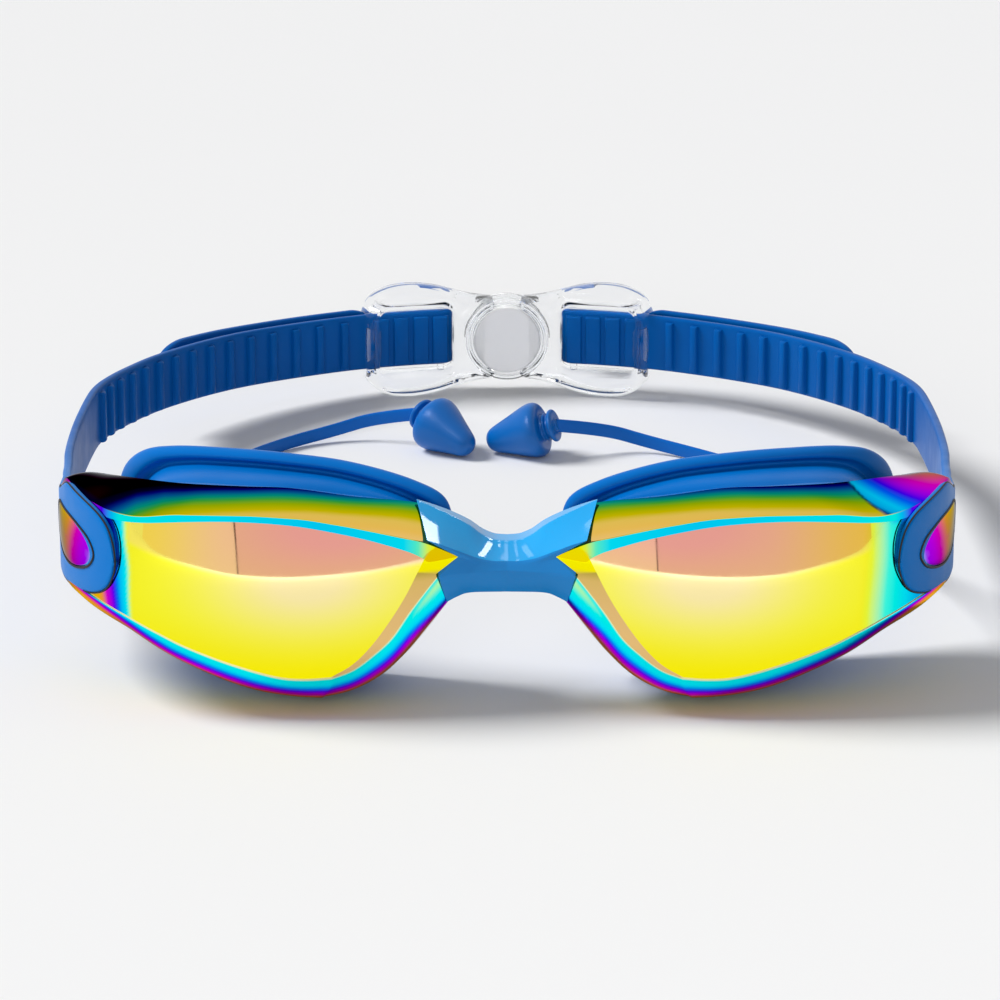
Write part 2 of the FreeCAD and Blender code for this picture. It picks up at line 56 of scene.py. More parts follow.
# ---------------------------------------------------------------- curves
def dense(pts, per=20, closed=False):
    """Centripetal Catmull-Rom line through the points."""
    P = np.array(pts, float)
    n = len(P)
    if closed:
        Q = np.vstack([P[-1], P, P[0], P[1]])
    else:
        Q = np.vstack([2 * P[0] - P[1], P, 2 * P[-1] - P[-2]])
    out = []
    for i in range(n if closed else n - 1):
        p0, p1, p2, p3 = Q[i:i + 4]
        t0 = 0.0
        t1 = t0 + max(1e-6, np.linalg.norm(p1 - p0)) ** 0.5
        t2 = t1 + max(1e-6, np.linalg.norm(p2 - p1)) ** 0.5
        t3 = t2 + max(1e-6, np.linalg.norm(p3 - p2)) ** 0.5
        t = np.linspace(t1, t2, per, endpoint=False)[:, None]
        a1 = (t1 - t) / (t1 - t0) * p0 + (t - t0) / (t1 - t0) * p1
        a2 = (t2 - t) / (t2 - t1) * p1 + (t - t1) / (t2 - t1) * p2
        a3 = (t3 - t) / (t3 - t2) * p2 + (t - t2) / (t3 - t2) * p3
        b1 = (t2 - t) / (t2 - t0) * a1 + (t - t0) / (t2 - t0) * a2
        b2 = (t3 - t) / (t3 - t1) * a2 + (t - t1) / (t3 - t1) * a3
        out.append((t2 - t) / (t2 - t1) * b1 + (t - t1) / (t2 - t1) * b2)
    out = np.vstack(out)
    return out if closed else np.vstack([out, P[-1]])


def arc(D, closed=False):
    if closed:
        D = np.vstack([D, D[:1]])
    s = np.concatenate([[0], np.cumsum(np.linalg.norm(np.diff(D, axis=0), axis=1))])
    return D, s


def resample(D, n, closed=False, f=None):
    D, s = arc(np.array(D, float), closed)
    if f is None:
        f = np.linspace(0, 1, n, endpoint=not closed)
    q = np.array(f) * s[-1]
    return np.stack([np.interp(q, s, D[:, k]) for k in range(D.shape[1])], 1)


def line(pts, n, per=20):
    return resample(dense(pts, per), n)


def pchip(xs, ys):
    xs, ys = np.array(xs, float), np.array(ys, float)
    h, d = np.diff(xs), np.diff(ys) / np.diff(xs)
    m = np.zeros(len(xs))
    for i in range(1, len(xs) - 1):
        if d[i - 1] * d[i] > 0:
            w1, w2 = 2 * h[i] + h[i - 1], h[i] + 2 * h[i - 1]
            m[i] = (w1 + w2) / (w1 / d[i - 1] + w2 / d[i])
    m[0], m[-1] = d[0], d[-1]

    def f(x):
        x = np.clip(np.asarray(x, float), xs[0], xs[-1])
        i = np.clip(np.searchsorted(xs, x) - 1, 0, len(xs) - 2)
        t = (x - xs[i]) / h[i]
        return ((1 + 2 * t) * (1 - t) ** 2 * ys[i] + t * (1 - t) ** 2 * h[i] * m[i]
                + t * t * (3 - 2 * t) * ys[i + 1] + t * t * (t - 1) * h[i] * m[i + 1])
    return f


def step(a, b, x):
    t = np.clip((np.asarray(x, float) - a) / (b - a), 0, 1)
    return t * t * (3 - 2 * t)


def ramp(stops, x):
    xs = [s[0] for s in stops]
    return np.stack([np.interp(x, xs, [s[1][k] for s in stops]) for k in range(3)], -1)


# ---------------------------------------------------------------- mesh help
class Build:
    """Collects rows of points and faces, then makes one object."""

    def __init__(self):
        self.v, self.f, self.c, self.m, self.sharp = [], [], [], [], set()

    def points(self, P, col=None):
        P = np.asarray(P, float).reshape(-1, 3)
        i = len(self.v)
        self.v.extend(map(tuple, P))
        c = np.ones((len(P), 3)) * 0.5 if col is None else np.broadcast_to(np.asarray(col, float), (len(P), 3))
        self.c.extend(map(tuple, c))
        return np.arange(i, i + len(P))

    def quads(self, a, b, closed=False, mat=0, flip=False):
        n = len(a)
        for k in range(n if closed else n - 1):
            j = (k + 1) % n
            q = [a[k], a[j], b[j], b[k]]
            if flip:
                q.reverse()
            q = [int(x) for x in q]
            self.f.append(q)
            self.m.append(mat)

    def fan(self, ring, centre, mat=0, flip=False):
        n = len(ring)
        for k in range(n):
            q = [int(ring[k]), int(ring[(k + 1) % n]), int(centre)]
            if flip:
                q.reverse()
            self.f.append(q)
            self.m.append(mat)

    def poly(self, ring, mat=0, flip=False):
        q = [int(x) for x in ring]
        if flip:
            q.reverse()
        self.f.append(q)
        self.m.append(mat)

    def sharpen(self, ring, closed=True):
        n = len(ring)
        for k in range(n if closed else n - 1):
            a, b = int(ring[k]), int(ring[(k + 1) % n])
            self.sharp.add((min(a, b), max(a, b)))

    def make(self, name, mats, mirror=False, colour=False, recalc=True):
        P = np.array(self.v, float)
        F = [list(f) for f in self.f]
        if mirror:
            P[:, 0] *= -1
            F = [f[::-1] for f in F]
        P = to_m(P)
        me = bpy.data.meshes.new(name)
        me.from_pydata([tuple(p) for p in P], [], F)
        for m in mats:
            me.materials.append(m)
        me.polygons.foreach_set("material_index", self.m)
        me.polygons.foreach_set("use_smooth", [True] * len(me.polygons))
        if colour:
            a = me.color_attributes.new("Coat", "FLOAT_COLOR", "POINT")
            c = np.ones((len(P), 4), np.float32)
            c[:, :3] = np.array(self.c)
            a.data.foreach_set("color", c.ravel())
        if self.sharp:
            key = {(min(e.vertices), max(e.vertices)): e.index for e in me.edges}
            flag = [False] * len(me.edges)
            for e in self.sharp:
                if e in key:
                    flag[key[e]] = True
            at = me.attributes.get("sharp_edge") or me.attributes.new("sharp_edge", "BOOLEAN", "EDGE")
            at.data.foreach_set("value", flag)
        me.update()
        o = bpy.data.objects.new(name, me)
        bpy.context.scene.collection.objects.link(o)
        if colour:
            # outer skin faces away from the middle of the shell, the cavity towards it
            C = to_m(np.array([EX * (-1 if mirror else 1), -46.0, EZ]))
            flip = []
            for p in me.polygons:
                out = (p.center.x - C[0]) * p.normal.x + (p.center.y - C[1]) * p.normal.y + (p.center.z - C[2]) * p.normal.z
                if (out < 0) == (p.material_index == 0):
                    flip.append(p.index)
            import bmesh
            bm = bmesh.new()
            bm.from_mesh(me)
            bm.faces.ensure_lookup_table()
            bmesh.ops.reverse_faces(bm, faces=[bm.faces[i] for i in flip])
            bm.to_mesh(me)
            bm.free()
        elif recalc:
            import bmesh
            bm = bmesh.new()
            bm.from_mesh(me)
            bmesh.ops.remove_doubles(bm, verts=bm.verts, dist=1e-7)
            bmesh.ops.recalc_face_normals(bm, faces=bm.faces)
            bm.to_mesh(me)
            bm.free()
        return o


def apply_mods(o):
    dg = bpy.context.evaluated_depsgraph_get()
    me = bpy.data.meshes.new_from_object(o.evaluated_get(dg))
    o.modifiers.clear()
    old = o.data
    o.data = me
    bpy.data.meshes.remove(old)


def smooth_by_angle(o, deg):
    import bmesh
    bm = bmesh.new()
    bm.from_mesh(o.data)
    for e in bm.edges:
        if len(e.link_faces) == 2:
            e.smooth = e.calc_face_angle(0.0) < math.radians(deg)
    for f in bm.faces:
        f.smooth = True
    bm.to_mesh(o.data)
    bm.free()


# ---------------------------------------------------------------- materials
def node_mat(name):
    m = bpy.data.materials.new(name)
    m.use_nodes = True
    nt = m.node_tree
    b = nt.nodes["Principled BSDF"]
    return m, nt, b


def noise(nt, scale, detail=3.0, rough=0.5):
    tc = nt.nodes.new("ShaderNodeTexCoord")
    n = nt.nodes.new("ShaderNodeTexNoise")
    n.inputs["Scale"].default_value = scale
    n.inputs["Detail"].default_value = detail
    n.inputs["Roughness"].default_value = rough
    nt.links.new(tc.outputs["Object"], n.inputs["Vector"])
    return n


def vary(nt, b, col_a, col_b, scale=60.0):
    n = noise(nt, scale)
    r = nt.nodes.new("ShaderNodeValToRGB")
    r.color_ramp.elements[0].position = 0.3
    r.color_ramp.elements[1].position = 0.7
    r.color_ramp.elements[0].color = (*col_a, 1)
    r.color_ramp.elements[1].color = (*col_b, 1)
    nt.links.new(n.outputs["Fac"], r.inputs["Fac"])
    nt.links.new(r.outputs["Color"], b.inputs["Base Color"])
    return r


def rough_map(nt, b, lo, hi, scale=220.0):
    n = noise(nt, scale, 4.0)
    m = nt.nodes.new("ShaderNodeMapRange")
    m.inputs["From Min"].default_value = 0.3
    m.inputs["From Max"].default_value = 0.7
    m.inputs["To Min"].default_value = lo
    m.inputs["To Max"].default_value = hi
    nt.links.new(n.outputs["Fac"], m.inputs["Value"])
    nt.links.new(m.outputs["Result"], b.inputs["Roughness"])


def bump(nt, b, scale, strength, dist=0.0001, detail=4.0):
    n = noise(nt, scale, detail)
    u = nt.nodes.new("ShaderNodeBump")
    u.inputs["Strength"].default_value = strength
    u.inputs["Distance"].default_value = dist
    nt.links.new(n.outputs["Fac"], u.inputs["Height"])
    nt.links.new(u.outputs["Normal"], b.inputs["Normal"])


def silicone(name, dark, light, lo=0.34, hi=0.42, spec=0.5, sheen=0.0, bumpy=0.12):
    m, nt, b = node_mat(name)
    vary(nt, b, dark, light, 45.0)
    rough_map(nt, b, lo, hi)
    bump(nt, b, 2600.0, bumpy, 0.00004)
    b.inputs["Specular IOR Level"].default_value = spec
    b.inputs["Sheen Weight"].default_value = sheen
    b.inputs["Sheen Roughness"].default_value = 0.4
    b.inputs["Subsurface Weight"].default_value = 0.0
    return m


def coat_mat(name):
    """Vapour-deposited mirror coat on hard plastic; its hue, with a painted reflection and painted edge highlights, is
    laid on the mesh.
    """
    m, nt, b = node_mat(name)
    at = nt.nodes.new("ShaderNodeAttribute")
    at.attribute_name = "Coat"
    n = noise(nt, 30.0, 2.0)
    mr = nt.nodes.new("ShaderNodeMapRange")
    mr.inputs["To Min"].default_value = 0.96
    mr.inputs["To Max"].default_value = 1.0
    nt.links.new(n.outputs["Fac"], mr.inputs["Value"])
    mx = nt.nodes.new("ShaderNodeVectorMath")
    mx.operation = "SCALE"
    nt.links.new(at.outputs["Color"], mx.inputs[0])
    nt.links.new(mr.outputs["Result"], mx.inputs["Scale"])
    nt.links.new(mx.outputs["Vector"], b.inputs["Base Color"])
    b.inputs["Metallic"].default_value = 1.0
    b.inputs["Specular Tint"].default_value = (0.40, 0.40, 0.42, 1.0)
    rough_map(nt, b, 0.02, 0.045, 400.0)
    return m


M_COAT = coat_mat("mirror_coat")

m, nt, b = node_mat("smoked_plastic")
vary(nt, b, (0.012, 0.013, 0.018), (0.02, 0.021, 0.03), 40.0)
rough_map(nt, b, 0.06, 0.12)
M_SMOKE = m

m, nt, b = node_mat("dark_gap")
vary(nt, b, (0.002, 0.002, 0.003), (0.006, 0.004, 0.006), 300.0)
b.inputs["Roughness"].default_value = 0.6
M_GAP = m

M_GASKET = silicone("gasket_silicone", (0.0, 0.140, 0.50), (0.0, 0.160, 0.56), 0.30, 0.38, 0.12)
M_BAND = silicone("strap_silicone", (0.0, 0.088, 0.35), (0.0, 0.104, 0.40), 0.34, 0.42, 0.08)
# painted light and shade: one silicone, painted lighter over the pad at the front and darker along the band towards the
# buckle, where the band lies in shade
nt = M_BAND.node_tree
b = nt.nodes["Principled BSDF"]
band_painted_shade_col = b.inputs["Base Color"].links[0].from_socket
tc = nt.nodes.new("ShaderNodeTexCoord")
xyz = nt.nodes.new("ShaderNodeSeparateXYZ")
mr = nt.nodes.new("ShaderNodeMapRange")
mr.interpolation_type = "SMOOTHSTEP"
mr.inputs["From Min"].default_value = (-50.0 + YS) * 0.001
mr.inputs["From Max"].default_value = (45.0 + YS) * 0.001
mx = nt.nodes.new("ShaderNodeMix")
mx.data_type = "RGBA"
mx.inputs["A"].default_value = (0.0, 0.160, 0.53, 1)
nt.links.new(tc.outputs["Object"], xyz.inputs[0])
nt.links.new(xyz.outputs["Y"], mr.inputs["Value"])
nt.links.new(mr.outputs["Result"], mx.inputs["Factor"])
nt.links.new(band_painted_shade_col, mx.inputs["B"])
nt.links.new(mx.outputs["Result"], b.inputs["Base Color"])
M_PLUG = silicone("plug_silicone", (0.0, 0.118, 0.43), (0.0, 0.134, 0.49), 0.28, 0.34, 0.34)
M_LEAD = silicone("lead_silicone", (0.0, 0.112, 0.46), (0.0, 0.128, 0.52), 0.38, 0.46, 0.18)

BRIDGE = []
# painted light: the upper face gets a lighter copy of the same blue plastic, standing in for the light it catches from
# above
for nm, ca, cb in (("bridge_plastic_front", (0.0, 0.190, 0.53), (0.0, 0.215, 0.59)),
                   ("bridge_plastic_top_painted_light", (0.0, 0.33, 0.74), (0.0, 0.37, 0.80))):
    m, nt, b = node_mat(nm)
    vary(nt, b, ca, cb, 50.0)
    rough_map(nt, b, 0.04, 0.07, 300.0)
    b.inputs["Specular IOR Level"].default_value = 0.34
    BRIDGE.append(m)

m, nt, b = node_mat("clear_plastic")
vary(nt, b, (0.965, 0.975, 0.985), (0.99, 0.995, 1.0), 30.0)
rough_map(nt, b, 0.015, 0.04, 300.0)
b.inputs["Transmission Weight"].default_value = 1.0
b.inputs["IOR"].default_value = 1.33
M_CLEAR = m

m, nt, b = node_mat("frosted_disc")
vary(nt, b, (0.955, 0.95, 0.94), (0.97, 0.965, 0.955), 60.0)
rough_map(nt, b, 0.30, 0.40, 300.0)
bump(nt, b, 1800.0, 0.08, 0.00003)
b.inputs["Specular IOR Level"].default_value = 0.5
M_DISC = m

# ---------------------------------------------------------------- plan lines
TH_X = [6.0, 41.05, 56, 60, 64, 67, 69.5, 72, 76, 79.5, 82, 83.2]
TH_A = [-16.74, 0.0, 7.14, 11.5, 19.5, 30.0, 42.0, 51.5, 60.5, 69.0, 79.0, 87.0]
_th = pchip(TH_X, TH_A)
_x = np.linspace(6.0, 83.2, 6000)
_lin = np.degrees((_x - 41.05) / 120.0)
_a = np.where(_x < 56, _lin, _th(_x))
_t = np.tan(np.radians(_a))
_y = np.concatenate([[0], np.cumsum((_t[1:] + _t[:-1]) / 2 * np.diff(_x))])
_y = _y - np.interp(41.05, _x, _y) - 69.5
_s = np.concatenate([[0], np.cumsum(np.hypot(np.diff(_x), np.diff(_y)))])
S_END = _s[-1]


def s_of_x(x):
    return np.interp(x, _x, _s)


def plan(s):
    """Point and outward normal of the front plan line at arc length s."""
    s = np.asarray(s, float)
    x, y = np.interp(s, _s, _x), np.interp(s, _s, _y)
    a = np.radians(np.interp(s, _s, _a))
    return x, y, np.sin(a), -np.cos(a)


def s_of_y(y):
    """Arc length on the temple side for a given Y."""
    k = _x > 60
    return np.interp(y, _y[k], _s[k])


_rise = pchip([6, 13, 27, 41, 48.6, 53, 58, 63.7, 69, 74], [3.4, 2.2, 0.55, 0.0, 0.3, 0.95, 2.0, 3.5, 5.0, 5.6])
_turn = pchip([6, 56, 60, 64, 67, 69.5, 84], [0.0, 0.0, 0.005, 0.019, 0.045, 0.07, 0.07])


def z_hor(x):
    """Height of the line on the facet that mirrors the far edge of the table."""
    return 26.5 + _rise(x)


def lean(x, z):
    return (0.15 + _turn(x)) * (z - 23.5) + (z - z_hor(x)) ** 2 / 240.0


def face_point(s, z, off=0.0):
    x, y, nx, ny = plan(s)
    k = 1.0 - step(66.0, 82.0, x) * 0.75
    return np.stack([x + nx * off, y + ny * off + lean(x, z) * k, z], -1)


P_REAR = pchip([6, 9, 25, 41, 56, 66, 72, 78, 83], [-53.6, -54, -56, -56, -53, -48, -42.5, -34.5, -26])
P_FACE = pchip([5, 8, 25, 41, 56, 66, 74, 80], [-47.8, -47, -43.5, -40, -35, -30, -23, -17.5])

NU, N1, N2, N3 = 170, 46, 6, 6
NV = N1 + N2 + N3 - 2

FACE_TOP = [(14.9, 29.0), (16.9, 30.1), (19.2, 31), (24.4, 32.7), (29.9, 34.1), (38, 35.6), (48.4, 36.3), (58.7, 36.0),
            (66, 35.2), (69.3, 34.8), (72.6, 34.7), (75.5, 35.1), (78.6, 36.2), (80.6, 36.7), (82.2, 33.9), (83.2, 30.9)]
FACE_BOTTOM = [(31.7, 8.0), (36.1, 7.8), (40.5, 8.1), (49.1, 10.4), (57.9, 13.5), (63.6, 16.0), (68.6, 18.0), (73.0, 18.9),
               (77.5, 19.3), (80.6, 19.4), (82.3, 19.2), (83.2, 19.2)]
FACE_NOSE = [(31.7, 8.0), (27.9, 10.2), (24.6, 13.4), (20.9, 18.3), (18.3, 22.4), (16.2, 26.4), (14.9, 29.0)]


def sz(pts, n, per=20, f=None):
    q = np.array(pts, float)
    q = np.stack([s_of_x(q[:, 0]), q[:, 1]], 1)
    return resample(dense(q, per), n, f=f)


def face_grid():
    T = sz(FACE_TOP, NU)
    B = sz(FACE_BOTTOM, NU)
    f = np.concatenate([np.linspace(0, 0.90, N1), np.linspace(0.90, 0.955, N2)[1:], np.linspace(0.955, 1.0, N3)[1:]])
    N = sz(FACE_NOSE, NV, f=f)
    R = np.stack([np.full(NV, S_END), np.linspace(19.2, 30.9, NV)], 1)
    u = np.linspace(0, 1, NU)[:, None, None]
    v = np.linspace(0, 1, NV)[None, :, None]
    vn = f[None, :, None]
    v = v * u + vn * (1 - u)
    G = ((1 - v) * B[:, None] + v * T[:, None] + (1 - u) * N[None] + u * R[None]
         - ((1 - u) * (1 - v) * B[0] + u * (1 - v) * B[-1] + (1 - u) * v * T[0] + u * v * T[-1]))
    return G


RIM_OUT = [(10, 29.3), (12.2, 33.2), (19.4, 36.1), (29.9, 37.6), (40, 38.8), (50, 38.9), (60, 38.4), (66.5, 36.4),
           (70.6, 31.6), (71.6, 25), (70.6, 18.6), (67.2, 12.6), (61, 8.4), (52.4, 4.9), (45.4, 2.9), (38.3, 1.8),
           (33.5, 1.6), (27.8, 2.7), (22.1, 5.7), (17.3, 10.1), (13.4, 14.6), (10.6, 19.4)]
FLANGE_OUT = [(10.1, 32.0), (11.6, 35.2), (17.0, 37.9), (28.8, 40.7), (39.9, 41.6), (50.9, 41.6), (61.8, 40.7),
              (67.2, 39.0), (70.9, 35.4), (72.6, 30.0), (72.6, 23.0), (70.4, 16.0), (66.0, 9.8), (59.5, 5.2),
              (51.0, 1.8), (42.5, 0.35), (35.0, 0.15), (27.0, 1.5), (20.0, 5.2), (14.2, 11.2), (10.5, 18.0),
              (9.4, 25.0)]
EX, EZ = 41.0, 20.8


def polar(pts):
    """Radius of a closed outline about the eye centre, by angle."""
    D = dense(pts, 24, True)
    a = np.arctan2(D[:, 1] - EZ, D[:, 0] - EX)
    r = np.hypot(D[:, 0] - EX, D[:, 1] - EZ)
    k = np.argsort(a)
    return lambda t: np.interp(t, a[k], r[k], period=2 * math.pi)


R_RIM, R_FLANGE = polar(RIM_OUT), polar(FLANGE_OUT)

# ---------------------------------------------------------------- coat hues, with a painted reflection and painted edge highlights
YEL, LEM, PALE = (1.0, 0.90, 0.0), (1.0, 0.97, 0.02), (1.0, 0.86, 0.42)
CYAN, AQUA, SKY = (0.0, 0.80, 1.0), (0.0, 0.93, 0.85), (0.0, 0.52, 1.0)
BLUE, INDIGO, PURPLE = (0.0, 0.14, 1.0), (0.06, 0.0, 0.95), (0.38, 0.0, 0.85)
MAGENTA, ORANGE, AMBER = (0.78, 0.0, 0.62), (1.0, 0.33, 0.06), (1.0, 0.55, 0.0)


def mix(a, b, t):
    t = np.asarray(t)[..., None]
    return np.asarray(a) * (1 - t) + np.asarray(b) * t


def hue_face(x, z, s, side):
    """Hue of the large front facet and of the wrap behind its crease; above z_hor the facet is painted peach and pink,
    a painted reflection of the room beyond the table's far edge.
    """
    centre = np.exp(-(((x - 36) / 15.0) ** 2 + ((z - 25.5) / 7.5) ** 2))
    c = mix(mix(YEL, LEM, step(8, 22, z)), PALE, np.clip(centre * 1.15, 0, 1))
    # painted reflection: above the mirrored table edge the coat colour turns peach and pink
    up = step(-0.6, 0.6, z - z_hor(x))
    painted_pink_reflection = np.exp(-(((x - 31) / 19.0) ** 2 + ((z - 35.0) / 7.5) ** 2))
    top = mix((1.0, 0.78, 0.36), (1.0, 0.60, 0.50), np.clip(painted_pink_reflection * 1.15, 0, 1))
    top = mix(top, (1.0, 0.86, 0.12), step(46, 66, x) if side > 0 else step(50, 66, x))
    c = mix(c, top, up)
    if side < 0:
        s0 = s_of_x(69.0 - 0.7 * step(33, 26, z) - 0.2 * step(22, 17, z))
        w = 0.85 - 0.15 * step(26, 18, z)
        q = (s - s0) / w
        wrap = ramp([(-1.6, YEL), (-0.5, (0.80, 1.0, 0.12)), (0.0, (0.40, 1.0, 0.62)), (0.5, AQUA), (1.1, CYAN),
                     (2.6, SKY), (3.8, BLUE), (5.0, INDIGO), (6.2, PURPLE), (8.4, MAGENTA), (10.5, ORANGE),
                     (13.0, AMBER)], q)
        return mix(c, wrap, step(-1.8, -0.2, q))
    s0 = s_of_x(67.2 - 1.0 * step(31, 17, z))
    q = s - s0
    wrap = ramp([(-3.5, YEL), (-1.5, (0.82, 1.0, 0.05)), (0.5, (0.45, 1.0, 0.45)), (2.2, (0.05, 1.0, 0.78)),
                 (4.5, AQUA), (8.0, CYAN), (12.0, SKY)], q)
    wrap = mix(wrap, BLUE, step(33.6, 36.0, z) * step(1.5, 4.0, q))
    return mix(c, wrap, step(-4.0, -0.8, q))


def hue_chamfer(x, side):
    c = ramp([(8, (1.0, 0.72, 0.10)), (11.5, YEL), (14.0, (0.85, 1.0, 0.0)), (16.0, (0.10, 0.95, 0.60)), (18.5, CYAN),
              (34, (0.0, 0.66, 1.0)), (52, CYAN), (66, (0.0, 0.90, 0.92)), (70.0, AQUA), (71.5, SKY), (73.2, INDIGO),
              (75.0, PURPLE), (77.0, MAGENTA), (84.0, MAGENTA)], x)
    return c


def hue_band(w, x, z, side):
    """Bottom and nose roll-off, w from the facet edge (0) to the outline (1)."""
    shift = -0.40 * step(13, 24, z) * (x < 30) + 0.34 * step(60, 78, x) * (x > 50)
    q = w + shift * step(0.02, 0.2, w)
    c = ramp([(-0.4, (0.95, 1.0, 0.15)), (-0.2, (0.45, 1.0, 0.45)), (0.0, AQUA), (0.12, (0.0, 0.86, 0.95)),
              (0.24, CYAN), (0.33, SKY), (0.41, BLUE), (0.49, INDIGO), (0.57, PURPLE), (0.67, MAGENTA),
              (0.78, (0.95, 0.20, 0.10)), (0.88, ORANGE), (1.05, AMBER), (1.4, AMBER)], q)
    # painted highlight: a pale line along the facet's lower edge, standing in for light caught on the edge rounding
    return mix(c, (1.0, 0.93, 0.45), step(0.05, 0.02, w))


def hue_flank(w, x, y, side):
    """Top flank, w from the chamfer (0) to the rear rim (1)."""
    sh = np.interp(x, [10, 20, 32, 45, 56, 62, 67, 71, 74], [-0.42, -0.34, -0.18, -0.02, 0.08, 0.18, 0.42, 0.75, 1.0])
    if side > 0:
        sh = np.interp(x, [10, 20, 32, 45, 56, 62, 68, 84], [-0.42, -0.34, -0.22, -0.10, -0.06, -0.02, 0.06, 0.2])
    q = w + sh
    c = ramp([(-0.45, (0.95, 0.62, 0.22)), (-0.2, (0.92, 0.56, 0.10)), (0.0, (0.86, 0.58, 0.10)),
              (0.12, (0.66, 0.52, 0.0)), (0.30, (0.36, 0.46, 0.0)), (0.46, (0.05, 0.40, 0.04)),
              (0.60, (0.0, 0.30, 0.24)), (0.72, (0.0, 0.12, 0.33)), (0.84, (0.0, 0.02, 0.22)),
              (0.95, (0.006, 0.002, 0.03)), (1.15, (0.012, 0.001, 0.002)), (2.0, (0.022, 0.002, 0.003))], q)
    if side > 0:
        r = (x - 64.6) * 0.93 + (y + 60.5) * 0.12 - 4.2 * (1 - w) ** 2
        far = ramp([(-0.2, (0.0, 0.05, 0.25)), (0.6, (0.0, 0.42, 0.85)), (2.6, (0.0, 0.62, 1.0)), (5.0, BLUE),
                    (6.8, INDIGO), (8.4, PURPLE), (10.8, MAGENTA), (13.4, (0.92, 0.12, 0.22)), (16.0, ORANGE)],
                   r + 3.2 * w)
        c = mix(c, far, step(-0.35, 0.35, r + 0.9))
        seam = np.exp(-((r + 0.9) / 0.28) ** 2) * step(0.05, 0.2, w) * step(0.95, 0.8, w)
        c = mix(c, (0.0, 0.01, 0.03), np.clip(seam, 0, 1) * 0.9)
    return c


